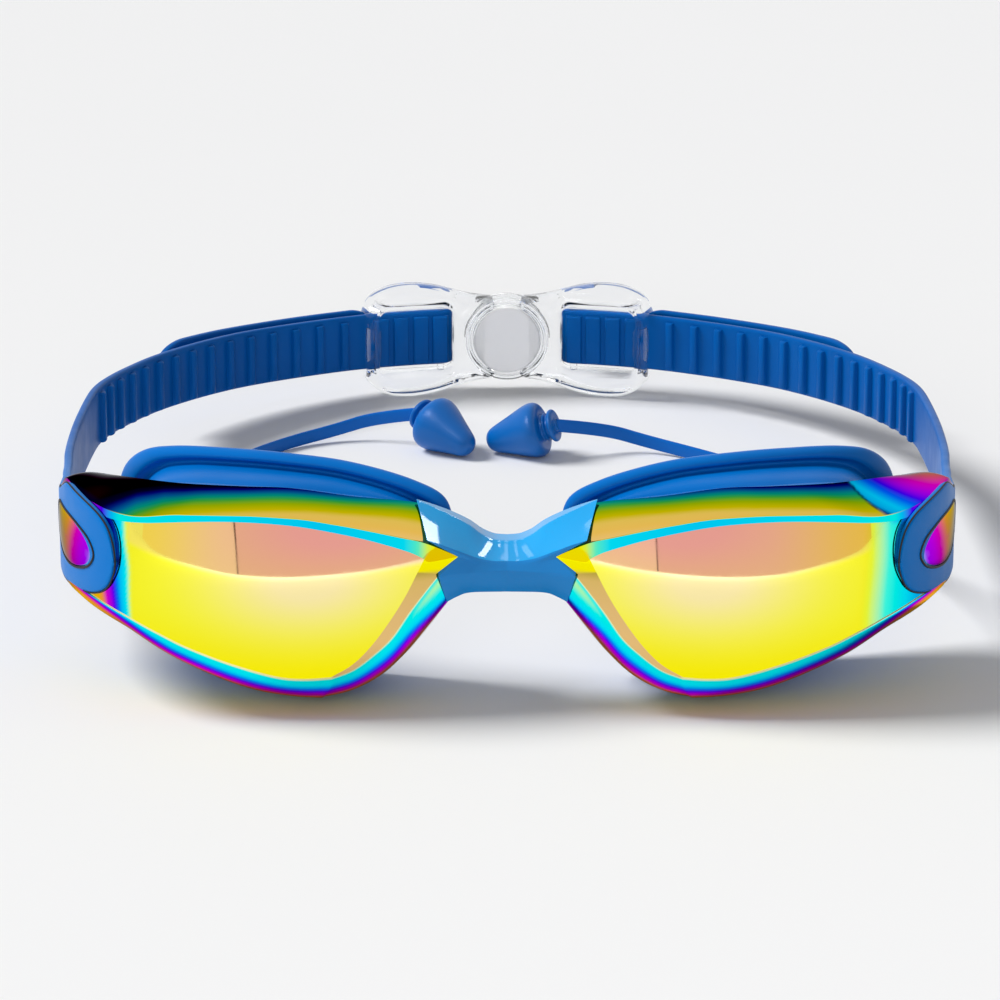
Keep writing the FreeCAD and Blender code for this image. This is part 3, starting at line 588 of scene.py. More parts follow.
# ---------------------------------------------------------------- lens
def lens(side):
    B = Build()
    G = face_grid()
    S, Z = G[..., 0], G[..., 1]
    P = face_point(S, Z)
    X = P[..., 0]
    C = hue_face(X, Z, S, side)
    ids = B.points(P.reshape(-1, 3), C.reshape(-1, 3)).reshape(NU, NV)
    for i in range(NU - 1):
        B.quads(ids[i], ids[i + 1])
    # edge loop: top (nose to temple), rear, bottom (temple to nose), nose
    top = [(i, NV - 1) for i in range(NU)]
    rear = [(NU - 1, j) for j in range(NV - 2, -1, -1)]
    bot = [(i, 0) for i in range(NU - 2, -1, -1)]
    nose = [(0, j) for j in range(1, NV - 1)]
    loop = top + rear + bot + nose
    r0 = np.array([ids[a] for a in loop])
    P0 = np.array([P[a] for a in loop])
    nT, nR, nB, nN = len(top), len(rear), len(bot), len(nose)
    z1T = pchip([12, 14.9, 19.2, 24.4, 29.9, 38, 48.4, 58.7, 69.4, 74.8, 78.6, 80.6, 82.2, 83.2],
                [30.6, 31.7, 32.8, 34.1, 35.3, 36.6, 37.1, 37.0, 35.7, 36.0, 36.9, 37.3, 34.4, 31.3])
    # ring 1: outer edge of the chamfer and of the nose sliver
    T1 = P0[:nT].copy()
    T1[:, 2] = z1T(T1[:, 0])
    T1[:, 1] += 1.05 * step(84, 74, T1[:, 0]) + 0.1
    R1 = P0[nT:nT + nR].copy()
    R1[:, 1] += 0.15
    B1 = P0[nT + nR:nT + nR + nB].copy()
    B1 += np.array([0, 0.12, -0.30])
    sl = [(31.4, -69.75, 7.65), (27.8, -69.3, 9.1), (23.9, -68.6, 11.9), (20.9, -67.9, 14.6), (17.6, -66.8, 19.2),
          (13.6, -65.4, 24.2), (12.2, -64.9, 25.8)]
    tip = [(12.2, -64.9, 25.8), (8.7, -63.5, 28.7)]
    tip2 = [(8.7, -63.5, 28.7), (11.2, -64.0, 30.0), (14.2, -64.55, 31.4)]
    start = B1[-1]
    seg = np.vstack([line([tuple(start)] + sl[1:], N1), line(tip, N2)[1:], line(tip2, N3)[1:]])
    T1[0] = seg[-1]
    Nn = seg[1:-1]
    ring1 = np.vstack([T1, R1, B1, Nn])
    # rings 2 and 3
    b2 = [(83.0, -28.2, 18.9), (82.0, -39, 18.2), (80.6, -45.6, 18.0), (78.4, -51.6, 18.0), (75.5, -56.2, 17.2),
          (72.5, -59.5, 16.3), (68.8, -62.1, 14.9), (61.3, -65.3, 10.9), (52.2, -67.1, 7.0), (45.4, -67.7, 4.8),
          (38.3, -67.8, 3.6), (33.5, -67.7, 3.3)]
    n2 = [(33.5, -67.7, 3.4), (28, -67.2, 4.6), (22.8, -66.5, 7.2), (18.2, -65.6, 11.3), (14.4, -64.5, 15.7),
          (10.7, -63.2, 20.1)]
    Bs2 = line(b2, nB + 1)[1:]
    Ns2 = np.vstack([line(n2, N1)[1:], line([(10.7, -63.2, 20.1), (9.7, -62.9, 24), (8.5, -63.2, 28.5)], N2)[1:],
                     line([(8.5, -63.2, 28.5), (11.1, -63.6, 30.1), (14.1, -64.1, 31.6)], N3)[1:-1]])
    T2 = T1 + np.array([0, 0.45, 0.07])
    R2 = R1 + np.array([-0.05, 0.15, 0])
    ring2 = np.vstack([T2, R2, Bs2, Ns2])
    t3 = [(12.6, -54.6, 34.5), (15.2, -55.1, 36.1), (28.4, -56, 37.9), (39.3, -56, 39.4), (47.4, -55.3, 39.5),
          (58.9, -52, 39.1), (68.8, -45.8, 38.4), (72.5, -41.9, 37.7), (76.5, -37, 36.6), (79.2, -32.6, 34.2),
          (80.8, -29.6, 31.8), (81.6, -28.2, 30.3)]
    r3 = [(81.6, -28.2, 30.3), (81.8, -27.7, 25), (81.6, -28.2, 20.5)]
    b3 = [(81.6, -28.2, 20.5), (79, -32.4, 18.0), (72.4, -41.9, 14.6), (68.8, -45.5, 13.1), (61.5, -50.6, 9.2),
          (52.4, -54.3, 4.9), (45.4, -55.4, 2.4), (38.3, -56, 1.3), (33.5, -56, 1.1)]
    n3 = [(33.5, -56, 1.1), (27.6, -56, 2.2), (21.8, -55.7, 5.2), (16.9, -55.2, 9.6), (13, -54.6, 14.2), (10, -54.1, 19.2)]
    ring3 = np.vstack([line(t3, nT), line(r3, nR + 1)[1:], line(b3, nB + 1)[1:], line(n3, N1)[1:],
                       line([(10, -54.1, 19.2), (9.3, -54, 24.4), (9.4, -54, 28.6)], N2)[1:],
                       line([(9.4, -54, 28.6), (10.3, -54.1, 31.2), (12.6, -54.6, 34.5)], N3)[1:-1]])
    n = len(loop)
    k = np.arange(n)
    isT = k < nT
    isR = (k >= nT) & (k < nT + nR)
    isB = (k >= nT + nR) & (k < nT + nR + nB)
    isN = k >= nT + nR + nB
    nidx = k - (nT + nR + nB)                     # place on the nose side
    fan = isN & (nidx >= N1 - 1)
    # chamfer / sliver strip
    K = 5
    prev = None
    for q in range(0, K + 1):
        t = q / K
        pts = P0 * (1 - t) + ring1 * t
        x, z = pts[:, 0], pts[:, 2]
        col = hue_chamfer(x, side)
        sliver = ramp([(0, (0.93, 0.60, 0.26)), (12, (0.86, 0.56, 0.22)), (20, (0.80, 0.52, 0.20)),
                       (25, (0.74, 0.50, 0.15)), (27, (0.45, 0.36, 0.03))], z)
        col = np.where(isN[:, None], sliver, col)
        tipc = ramp([(25.5, (0.60, 0.48, 0.04)), (27.0, (1.0, 0.88, 0.0)), (30, (0.95, 0.95, 0.0))], z)
        col = np.where(fan[:, None], tipc, col)
        # painted highlight: the bottom and rear edges of the chamfer strip get a pale line standing in for light caught
        # on a small edge rounding
        bb = np.broadcast_to(np.array((1.0, 0.95, 0.45)), col.shape)
        col = np.where((isB | isR)[:, None], bb, col)
        row = B.points(pts, col)
        if q > 0:                                 # the first row repeats the facet edge: a crisp colour border
            B.quads(prev, row, True)
        prev = row
    # roll-off and flank
    view_t = np.array([0, 0.956, -0.292])
    K2, K3 = 18, 18
    d12, d23 = ring2 - ring1, ring3 - ring2
    L12 = np.linalg.norm(d12, axis=1)[:, None]
    L23 = np.linalg.norm(d23, axis=1)[:, None]
    down = np.array([0, 0.44, -0.90])
    side_dir = np.stack([-np.ones(n) * 0, np.zeros(n), np.zeros(n)], 1)
    e1 = d12 / L12
    # start direction on the lower edges bulges forward of the chord
    out = ring2 - np.array([EX, 0, EZ])
    out[:, 1] = 0
    out /= np.linalg.norm(out, axis=1)[:, None]
    m1 = np.where((isB | (isN & ~fan))[:, None], out * 0.92 + np.array([0, 0.38, 0]), e1)
    m2 = d23 / L23 * 0.75 + e1 * 0.25
    m2 = np.where((isB | (isN & ~fan))[:, None], out * 0.25 + np.array([0, 0.95, 0]), m2)
    m1 /= np.linalg.norm(m1, axis=1)[:, None]
    m2 /= np.linalg.norm(m2, axis=1)[:, None]
    w12 = L12 * 1.1
    m3 = d23 / L23
    first = True
    for q in range(0, K2 + 1):
        t = q / K2
        h = (2 * t ** 3 - 3 * t ** 2 + 1, t ** 3 - 2 * t ** 2 + t, -2 * t ** 3 + 3 * t ** 2, t ** 3 - t ** 2)
        pts = h[0] * ring1 + h[1] * m1 * w12 + h[2] * ring2 + h[3] * m2 * w12
        col = hue_band(np.full(n, t), pts[:, 0], pts[:, 2], side)
        # painted highlight: a yellow hairline along the chamfer's upper edge, fading into the flank, stands in for
        # light caught on the edge rounding
        edge = np.broadcast_to(np.array((1.0, 0.93, 0.02)), col.shape)
        body = hue_flank(np.zeros(n), pts[:, 0], pts[:, 1], side)
        tc = mix(edge, body, np.full(n, step(0.45, 0.75, t)))
        dark = step(68, 73, pts[:, 0]) * (isT | isR)
        tc = tc * (1 - dark[:, None]) + body * dark[:, None]
        col = np.where((isT | isR)[:, None], tc, col)
        tipc = ramp([(25.5, (0.75, 0.6, 0.05)), (28, (1.0, 0.8, 0.05))], pts[:, 2])
        col = np.where(fan[:, None], tipc, col)
        row = B.points(pts, col)
        if not first:
            B.quads(prev, row, True)
        first = False
        prev = row
    for q in range(1, K3 + 1):
        t = q / K3
        h = (2 * t ** 3 - 3 * t ** 2 + 1, t ** 3 - 2 * t ** 2 + t, -2 * t ** 3 + 3 * t ** 2, t ** 3 - t ** 2)
        pts = h[0] * ring2 + h[1] * m2 * L23 + h[2] * ring3 + h[3] * m3 * L23
        pts[:nT] = ring2[:nT] * (1 - t) + ring3[:nT] * t + np.array([0, 0, 0.45]) * (4 * t * (1 - t))
        col = hue_flank(np.full(n, t), pts[:, 0], pts[:, 1], side)
        low = ramp([(0, (0.85, 0.42, 0.05)), (0.2, (0.95, 0.62, 0.05)), (0.5, (0.45, 0.42, 0.02)),
                    (0.8, (0.04, 0.25, 0.12)), (1.0, (0.0, 0.05, 0.12))], np.full(n, t))
        col = np.where((isB | isN)[:, None], low, col)
        row = B.points(pts, col)
        B.quads(prev, row, True)
        prev = row
    B.sharpen(prev)
    # rear web to the gasket seat, cavity wall and inner face
    ang = np.arctan2(ring3[:, 2] - EZ, ring3[:, 0] - EX)

    def outline(r, yy):
        x = EX + np.cos(ang) * r
        z = EZ + np.sin(ang) * r
        return np.stack([x, yy(x), z], 1)
    rr = np.minimum(R_RIM(ang) * 0.985, np.hypot(ring3[:, 0] - EX, ring3[:, 2] - EZ) - 0.35)
    a = outline(rr, lambda x: P_REAR(np.minimum(x, 76)) + 0.1)
    rows = [a, outline(rr * 0.965, lambda x: P_REAR(np.minimum(x, 76)) - 1.2)]
    a0 = np.arctan2(P0[:, 2] - EZ, P0[:, 0] - EX)
    q0 = np.hypot(P0[:, 0] - EX, P0[:, 2] - EZ)
    ks = np.argsort(a0)
    rf = np.minimum(np.interp(ang, a0[ks], q0[ks], period=2 * math.pi) * 0.93, R_RIM(ang) * 0.92)

    def inner_y(x, z):
        s = s_of_x(np.clip(x, 6, 83))
        return face_point(s, z)[..., 1] + 2.1
    for f in (1.0, 0.985, 0.9, 0.75, 0.55, 0.35, 0.15):
        x = EX + np.cos(ang) * rf * f
        z = EZ + np.sin(ang) * rf * f
        rows.append(np.stack([x, inner_y(x, z) + (0.5 if f == 1.0 else 0), z], 1))
    first = True
    for pts in rows:
        row = B.points(pts, (0.02, 0.02, 0.03))
        if first:
            # the rear web carries the coat too
            B.quads(prev, row, True, mat=0)
            B.sharpen(row)
            first = False
        else:
            B.quads(prev, row, True, mat=1)
        prev = row
    c = B.points([[EX, float(inner_y(np.array(EX), np.array(EZ))), EZ]], (0.02, 0.02, 0.03))[0]
    B.fan(prev, c, mat=1)
    # teardrop stud standing through the strap pad
    st = np.array([(-37.0, 31.0), (-44.0, 31.6), (-51.0, 31.0), (-55.6, 29.4), (-57.0, 27.2), (-55.4, 24.8),
                   (-51.0, 23.0), (-45.0, 22.4), (-40.0, 23.6), (-36.4, 27.4)])
    D = resample(dense(st, 16, True), 84, True)
    cy, cz = D[:, 0].mean(), D[:, 1].mean()

    def stud_ring(k, off):
        y, z = cy + (D[:, 0] - cy) * k, cz + (D[:, 1] - cz) * k
        s = s_of_y(y)
        return face_point(s, z, off), s, y, z
    prev = None
    for k, off in ((1.0, -0.6), (1.0, 0.25), (0.985, 0.45), (0.95, 0.56), (0.88, 0.66), (0.75, 0.78), (0.6, 0.86),
                   (0.45, 0.92), (0.3, 0.96), (0.15, 0.98)):
        pts, s, y, z = stud_ring(k, off)
        t = (y + 57.0) / 20.0 + 0.02 * (z - 27)
        col = ramp([(0.0, (0.0, 0.8, 1.0)), (0.035, (0.35, 0.2, 1.0)), (0.08, (0.42, 0.0, 0.95)), (0.22, (0.62, 0.0, 0.85)),
                    (0.34, (0.86, 0.0, 0.55)), (0.46, (1.0, 0.22, 0.22)), (0.56, (1.0, 0.42, 0.05)),
                    (0.72, (1.0, 0.60, 0.0)), (1.0, (1.0, 0.74, 0.0))], t)
        if off > 0.3 and k > 0.97:
            col = mix(col, (0.0, 0.95, 0.80), step(0.5, 0.05, t))
        row = B.points(pts, col)
        if prev is not None:
            B.quads(prev, row, True)
        prev = row
    pts, s, y, z = stud_ring(0.0, 1.0)
    c = B.points(pts[:1], (1.0, 0.30, 0.16))[0]
    B.fan(prev, c)
    o = B.make(("left_lens_look" if side < 0 else "right_lens_look"), [M_COAT, M_SMOKE], mirror=side < 0, colour=True)
    return o


# ---------------------------------------------------------------- gasket
def gasket(side):
    B = Build()
    n = 240
    ang = np.linspace(-math.pi, math.pi, n, endpoint=False)
    rim, fl = R_RIM(ang), R_FLANGE(ang)
    # the opening: squarer and smaller than the flange
    hole = fl * np.interp(np.abs(np.sin(ang)), [0, 1], [0.80, 0.74])

    def row(r, front, off):
        """front 0 measures off from the lens rim, 1 from the face line."""
        x, z = EX + np.cos(ang) * r, EZ + np.sin(ang) * r
        y = P_REAR(np.minimum(x, 76)) * (1 - front) + P_FACE(x) * front + off
        z = np.maximum(z, 0.12)
        return np.stack([x, y, z], 1)
    prof = [row(rim * 0.86, 0, -1.0), row(rim * 0.93, 0, -1.4), row(rim * 0.962, 0, -0.6), row(rim * 0.985, 0, 0.35),
            row(rim * 1.0, 0, 0.9), row(rim * 1.004, 0, 1.9), row(rim * 0.99, 0, 2.8), row(rim * 0.955, 0, 3.2),
            row(rim * 0.925, 0.15, 2.4), row((rim * 0.5 + fl * 0.5) * 0.905, 0.42, 0.4),
            row(fl * 0.868, 0.74, -1.0), row(fl * 0.862, 1, -1.7), row(fl * 0.880, 1, -1.5), row(fl * 0.908, 1, -2.3),
            row(fl * 0.925, 1, -2.95), row(fl * 0.950, 1, -3.05), row(fl * 0.978, 1, -2.6),
            row(fl * 1.0, 1, -1.6), row(fl * 1.0, 1, -0.8), row(fl * 0.985, 1, -0.15), row(fl * 0.955, 1, 0.0),
            row(fl * 0.90, 1, -0.1), row(fl * 0.84, 1, -0.5), row(hole * 1.01, 1, -1.2), row(hole * 0.985, 1, -2.4),
            row(hole * 1.0, 0.8, -2.2), row((hole * 0.5 + rim * 0.43), 0.5, -0.6), row(rim * 0.85, 0.2, 0.6)]
    P = np.array(prof)                                # k, n, 3
    m = len(prof) * 4
    Q = np.zeros((m, n, 3))
    for j in range(n):
        Q[:, j] = dense(P[:, j], 4, True)
    Q[..., 2] = np.maximum(Q[..., 2], 0.05)
    rows = [B.points(Q[i]) for i in range(m)]
    for i in range(m):
        B.quads(rows[i], rows[(i + 1) % m], True)
    return B.make(("left_gasket_look" if side < 0 else "right_gasket_look"), [M_GASKET], mirror=side < 0)


# ---------------------------------------------------------------- bridge
def bridge():
    B = Build()
    NX = 61
    u = np.linspace(-1, 1, NX)

    def row(xe, zs, ys):
        x = u * xe
        a = np.abs(x)
        z = pchip([p[0] for p in zs], [p[1] for p in zs])(a)
        y = pchip([p[0] for p in ys], [p[1] for p in ys])(a)
        return np.stack([x, y, z], 1)
    top = row(16.4, [(0, 29.55), (1.8, 29.68), (4.0, 30.5), (6.9, 32.6), (10.4, 34.5), (13.5, 35.9), (16.4, 37.1)],
              [(0, -56.6), (6, -56.6), (11, -56.3), (16.4, -55.6)])
    c1 = row(14.4, [(0, 27.5), (1.8, 27.55), (4.4, 28.0), (8.6, 29.75), (11.5, 31.1), (14.4, 32.25)],
             [(0, -62.2), (6, -62.9), (10, -63.9), (14.4, -64.95)])
    tipr = row(8.75, [(0, 27.0), (1.8, 27.05), (4.4, 27.4), (8.75, 28.7)], [(0, -62.7), (5, -63.2), (8.75, -63.6)])
    c2 = row(12.3, [(0, 26.05), (4.2, 25.95), (8, 25.75), (12.3, 25.65)], [(0, -63.4), (6, -64.0), (12.3, -65.75)])
    bot = row(10.85, [(0, 21.75), (5.0, 21.75), (7.3, 21.65), (9.2, 21.1), (10.85, 20.4)],
              [(0, -62.4), (6, -62.7), (10.85, -64.3)])
    bb = bot + np.array([0, 5.0, 0.6])
    bm = row(11.0, [(0, 25.0), (6, 26.0), (11, 28.0)], [(0, -52.4), (6, -52.6), (11, -53.0)])
    fade = (1.0 - (np.abs(u) ** 2.2) * 0.93)[:, None]
    bt = top + np.array([0, 4.8, -0.2]) * fade
    bm[:, 2] = bt[:, 2] - 3.2
    bm[:, 1] = bt[:, 1] + 0.1
    prof = [top, c1, tipr, c2, bot, bb, bm, bt]
    sub = {0: 10, 1: 3, 2: 5, 3: 8, 4: 5, 5: 4, 6: 4, 7: 5}
    rows, part = [], []
    for i, a in enumerate(prof):
        b2 = prof[(i + 1) % len(prof)]
        for q in range(sub[i]):
            t = q / sub[i]
            p = a * (1 - t) + b2 * t
            if i == 0:      # the upper face is dished between its edges
                p[:, 1] += 0.35 * 4 * t * (1 - t)
            if i == 3:
                p[:, 1] += -0.3 * 4 * t * (1 - t)
            rows.append(B.points(p))
            # rows of the upper face take the lighter copy: painted light
            part.append(1 if i in (0, 7) else 0)
    m = len(rows)
    for i in range(m):
        B.quads(rows[i], rows[(i + 1) % m], False, part[i])
    for e, fl in ((0, False), (NX - 1, True)):
        ring = [r[e] for r in rows]
        c = B.points([np.mean([B.v[r] for r in ring], axis=0)])[0]
        B.fan(ring, c, flip=fl)
    o = B.make("nose_bridge_look", BRIDGE)
    smooth_by_angle(o, 30)
    bv = o.modifiers.new("bevel", "BEVEL")
    bv.width, bv.segments, bv.limit_method, bv.angle_limit = 0.00028, 2, "ANGLE", math.radians(24)
    apply_mods(o)
    return o


# ---------------------------------------------------------------- strap
STRAP_IN = [(81.85, -19.5), (82.5, -12.0), (83.1, -2.0), (84.0, 10.0), (84.7, 32.0), (84.5, 50.0), (83.3, 68.8),
            (80.9, 79.6), (77.4, 89.6), (73.6, 98.2), (69.0, 106.2), (63.6, 114.1), (57.6, 121.4), (50.9, 127.8),
            (43.6, 133.6), (36.2, 138.4), (30.5, 141.4), (25.0, 143.4), (19.5, 144.9), (14.6, 145.9)]
MID_Z = pchip([-75, -44, -27, -12, 10, 32, 50, 68.8, 89.6, 106.2, 121.4, 138.4, 146.2, 170],
              [27.6, 27.2, 25.3, 23.3, 21.0, 18.9, 17.8, 17.1, 15.9, 15.0, 14.1, 13.0, 12.7, 12.7])
PAD_Y = np.array([-62.5, -61.9, -61.0, -59.6, -57.5, -54, -50, -45.5, -41, -36, -32, -28, -24, -19, -12, -4])
_pt = pchip(np.sqrt(PAD_Y + 62.5), [27.3, 31.3, 33.2, 34.6, 35.6, 36.4, 36.9, 37.2, 35.6, 33.5, 32.5, 31.8, 31.2, 30.6,
                                    29.7, 28.6])
_pb = pchip(np.sqrt(PAD_Y + 62.5), [27.3, 24.3, 22.5, 21.1, 20.0, 19.0, 18.4, 17.9, 17.6, 17.4, 17.4, 17.4, 17.3, 17.2,
                                    17.1, 16.6])


def PAD_TOP(y):
    return _pt(np.sqrt(np.maximum(np.asarray(y, float) + 62.5, 0)))


def PAD_BOT(y):
    return _pb(np.sqrt(np.maximum(np.asarray(y, float) + 62.5, 0)))




def strap(side):
    B = Build()
    # the plan line of the outer face: on the lens temple, then the band
    pad_s = s_of_y(np.array([-62.5]))[0]
    thick = 1.7
    k = np.linspace(0, 1, 60)
    s = pad_s + (S_END - 1.2 - pad_s) * (1 - np.cos(k * math.pi / 2)) * 0.35 + (S_END - 1.2 - pad_s) * k * 0.65
    px, py, pnx, pny = plan(s)
    off_out = 0.35
    A = np.stack([px + pnx * off_out, py + pny * off_out], 1)     # outer face on the pad
    inner = dense(STRAP_IN, 24)
    # outer face line of the band
    t = np.gradient(inner, axis=0)
    t /= np.linalg.norm(t, axis=1)[:, None]
    nrm = np.stack([t[:, 1], -t[:, 0]], 1)
    outer = inner + nrm * thick
    k0 = np.argmax(outer[:, 1] > -17.0)
    joinpts = np.vstack([A[::4], A[-1:], outer[k0::12], outer[-1:]])
    run = dense(joinpts, 10)
    # the band turns round the bar of the buckle and comes back on the outside
    end = run[-1]
    te = run[-1] - run[-3]
    te /= np.linalg.norm(te)
    ne = np.array([te[1], -te[0]])
    rad = 1.68
    c = end + ne * (rad - 0.0)
    turn = [c + (-ne * math.cos(a) + te * math.sin(a)) * rad * np.array([1, 1]) for a in np.linspace(0.25, math.pi - 0.25, 9)]
    back = (outer + nrm * (2 * rad))[::-1]
    stop = 10 * 24
    back = back[4: len(back) - stop]
    path = np.vstack([run, np.array(turn), back[::10], back[-1:]])
    D = resample(dense(path, 6), 760)
    tt = np.gradient(D, axis=0)
    tt /= np.linalg.norm(tt, axis=1)[:, None]
    nn = np.stack([tt[:, 1], -tt[:, 0]], 1)                       # outward until the turn
    DD, sl = arc(D)
    n = len(D)
    # height and thickness by station
    fold = np.argmax(D[:, 0] < end[0] + 0.05)
    y = D[:, 1]
    zm = MID_Z(y)
    zt, zb = zm + 6.1, zm - 6.1
    front = (np.arange(n) < fold) & (y < -4)
    w = step(-12, -4, y)
    zt = np.where(front, PAD_TOP(y) * (1 - w) + zt * w, zt)
    zb = np.where(front, PAD_BOT(y) * (1 - w) + zb * w, zb)
    th = np.full(n, thick)
    th = np.where(front, np.interp(y, [-62.5, -61.5, -30, -20], [0.9, 1.35, 1.5, 1.7]), th)
    # rounded free end of the band
    tail = sl[-1] - sl
    r_end = np.sqrt(np.clip(1 - (1 - np.clip(tail / 9.0, 0, 1)) ** 2, 0.0004, 1))
    is_tail = np.arange(n) > fold + 20
    mid = (zt + zb) / 2
    hh = (zt - zb) / 2
    hh = np.where(is_tail, hh * (0.30 + 0.70 * r_end), hh)
    hh = np.where(is_tail, hh * (1 - 0.22 * step(34.0, 28.5, D[:, 0])), hh)
    zt, zb = mid + hh, mid - hh
    M = 40
    rows = []
    for i in range(n):
        h = (zt[i] - zb[i]) / 2
        r = min(0.62 if y[i] > -20 else 0.5, h * 0.98, th[i] * 0.49)
        # rounded rectangle (depth d inwards from the outer face, z)
        q = []
        for (cd, cz, a0) in ((-r, h - r, 0), (-th[i] + r, h - r, 90), (-th[i] + r, -h + r, 180), (-r, -h + r, 270)):
            for a in np.linspace(a0, a0 + 90, 5):
                q.append((cd + r * math.cos(math.radians(a)), cz + r * math.sin(math.radians(a))))
        q = np.array(q)
        # extra rows along the faces
        full = []
        for k in range(len(q)):
            full.append(q[k])
            j = (k + 1) % len(q)
            if np.linalg.norm(q[j] - q[k]) > 2 * r * 0.6 and abs(q[j][1] - q[k][1]) > 2 * r:
                for f in np.linspace(0, 1, 9)[1:-1]:
                    full.append(q[k] * (1 - f) + q[j] * f)
        full = np.array(full)
        if len(full) != 34:
            g = resample(full, 34, True)
            full = g
        crown = 0.0
        P = np.stack([D[i, 0] + nn[i, 0] * full[:, 0], D[i, 1] + nn[i, 1] * full[:, 0], mid[i] + full[:, 1]], 1)
        rows.append(B.points(P))
    for i in range(n - 1):
        B.quads(rows[i], rows[i + 1], True, 0 if front[i] and y[i] < -18 else 2)
    for e, fl in ((0, True), (n - 1, False)):
        c = B.points([np.mean([B.v[r] for r in rows[e]], axis=0)])[0]
        B.fan(rows[e], c, 0 if e == 0 else 2, flip=fl)
    # ribs on the head side
    L, sI = arc(inner)
    nearest = np.argmin(np.hypot(inner[:, 0] - 83.2, inner[:, 1] - 69.4))
    s0 = sI[nearest]
    spots = [(s0 + 6.21 * q, 0.85, 1.0) for q in range(15)]
    xI = inner[:, 0]
    for xr in (14.7, 18.9, 23.2, 27.5):
        spots.append((float(np.interp(-xr, -xI, sI)), 1.68, 0.75))
    for sc, hw, out_ in spots:
        hh_ = 5.3
        base = []
        # section across the rib (along the band, towards the head)
        sec = [(-hw - 0.25, 0.35), (-hw, -0.05), (-hw, -out_ + 0.35), (-hw + 0.12, -out_ + 0.1), (-hw + 0.35, -out_),
               (0, -out_ - 0.03), (hw - 0.35, -out_), (hw - 0.12, -out_ + 0.1), (hw, -out_ + 0.35), (hw, -0.05),
               (hw + 0.25, 0.35)]
        zz = [(-hh_ - 0.0, 0.0), (-hh_, 0.55), (-hh_ + 0.12, 0.85), (-hh_ + 0.4, 1.0), (0, 1.0), (hh_ - 0.4, 1.0),
              (hh_ - 0.12, 0.85), (hh_, 0.55), (hh_, 0.0)]
        prev = None
        ctr = [np.interp(sc, sI, inner[:, 0]), np.interp(sc, sI, inner[:, 1])]
        tg = [np.interp(sc, sI, t[:, 0]), np.interp(sc, sI, t[:, 1])]
        ng = [np.interp(sc, sI, nrm[:, 0]), np.interp(sc, sI, nrm[:, 1])]
        zc = float(MID_Z(ctr[1])) - 0.35
        firstrow = None
        for dz, kk in zz:
            pts = []
            for a, d in sec:
                d2 = d * kk if d < 0 else d
                pts.append((ctr[0] + tg[0] * a + ng[0] * d2, ctr[1] + tg[1] * a + ng[1] * d2, zc + dz))
            row = B.points(pts)
            if prev is not None:
                B.quads(prev, row, True, 2)
            else:
                B.poly(row, 2, flip=True)
            prev = row
        B.poly(prev, 2)
    # dark joint lines round the pad and round the stud
    def tube(P, N, r, mat=1, closed=True):
        m = 8
        prev = first = None
        nP = len(P)
        tg = np.roll(P, -1, 0) - np.roll(P, 1, 0)
        if not closed:
            tg[0], tg[-1] = P[1] - P[0], P[-1] - P[-2]
        tg /= np.linalg.norm(tg, axis=1)[:, None]
        bi = np.cross(tg, N)
        bi /= np.linalg.norm(bi, axis=1)[:, None]
        N2 = np.cross(bi, tg)
        for i in range(nP):
            ring = [P[i] + r * (math.cos(a) * bi[i] + math.sin(a) * N2[i]) for a in np.linspace(0, 2 * math.pi, m, endpoint=False)]
            row = B.points(ring)
            if prev is not None:
                B.quads(prev, row, True, mat)
            else:
                first = row
            prev = row
        if closed:
            B.quads(prev, first, True, mat)
    st = np.array([(-37.0, 31.0), (-44.0, 31.6), (-51.0, 31.0), (-55.6, 29.4), (-57.0, 27.2), (-55.4, 24.8),
                   (-51.0, 23.0), (-45.0, 22.4), (-40.0, 23.6), (-36.4, 27.4)])
    E = resample(dense(st, 16, True), 120, True)
    cy, cz = E[:, 0].mean(), E[:, 1].mean()
    E = np.stack([cy + (E[:, 0] - cy) * 1.02, cz + (E[:, 1] - cz) * 1.035], 1)
    ss = s_of_y(E[:, 0])
    Pt = face_point(ss, E[:, 1], 0.36)
    _, _, ax, ay = plan(ss)
    Nt = np.stack([ax, ay, np.zeros(len(ax))], 1)
    # the pad follows the plan line only, so the tube sits on the pad's outer face
    qx, qy, _, _ = plan(ss)
    Pt[:, 0], Pt[:, 1] = qx + ax * 0.38, qy + ay * 0.38
    tube(Pt, Nt, 0.24)
    yb_ = np.concatenate([np.linspace(-30, -60, 60), -62.5 + 2.5 * np.linspace(1, 0, 16) ** 2])
    edge = np.vstack([np.stack([yb_, PAD_TOP(yb_)], 1), np.stack([yb_[::-1], PAD_BOT(yb_[::-1])], 1)[1:]])
    edge = resample(edge, 260)
    es = s_of_y(edge[:, 0])
    ex, ey, eax, eay = plan(es)
    Pe = np.stack([ex + eax * 0.10 - 0.05, ey + eay * 0.10 - 0.05, edge[:, 1]], 1)
    Ne = np.stack([eax, eay, np.zeros(len(eax))], 1)
    tube(Pe, Ne, 0.17, closed=False)
    name = "left_strap_look" if side < 0 else "right_strap_look"
    o = B.make(name, [M_BAND, M_GAP, M_BAND], mirror=side < 0)
    smooth_by_angle(o, 46)
    return o


# ---------------------------------------------------------------- buckle
CY0, BOW, CZ, DEEP = 144.8, 170.0, 12.4, 6.6


def bow(x, n):
    y = CY0 - x * x / BOW
    sy = -2.0 * x / BOW
    s = np.hypot(1.0, sy)
    return x - sy / s * n, y + n / s


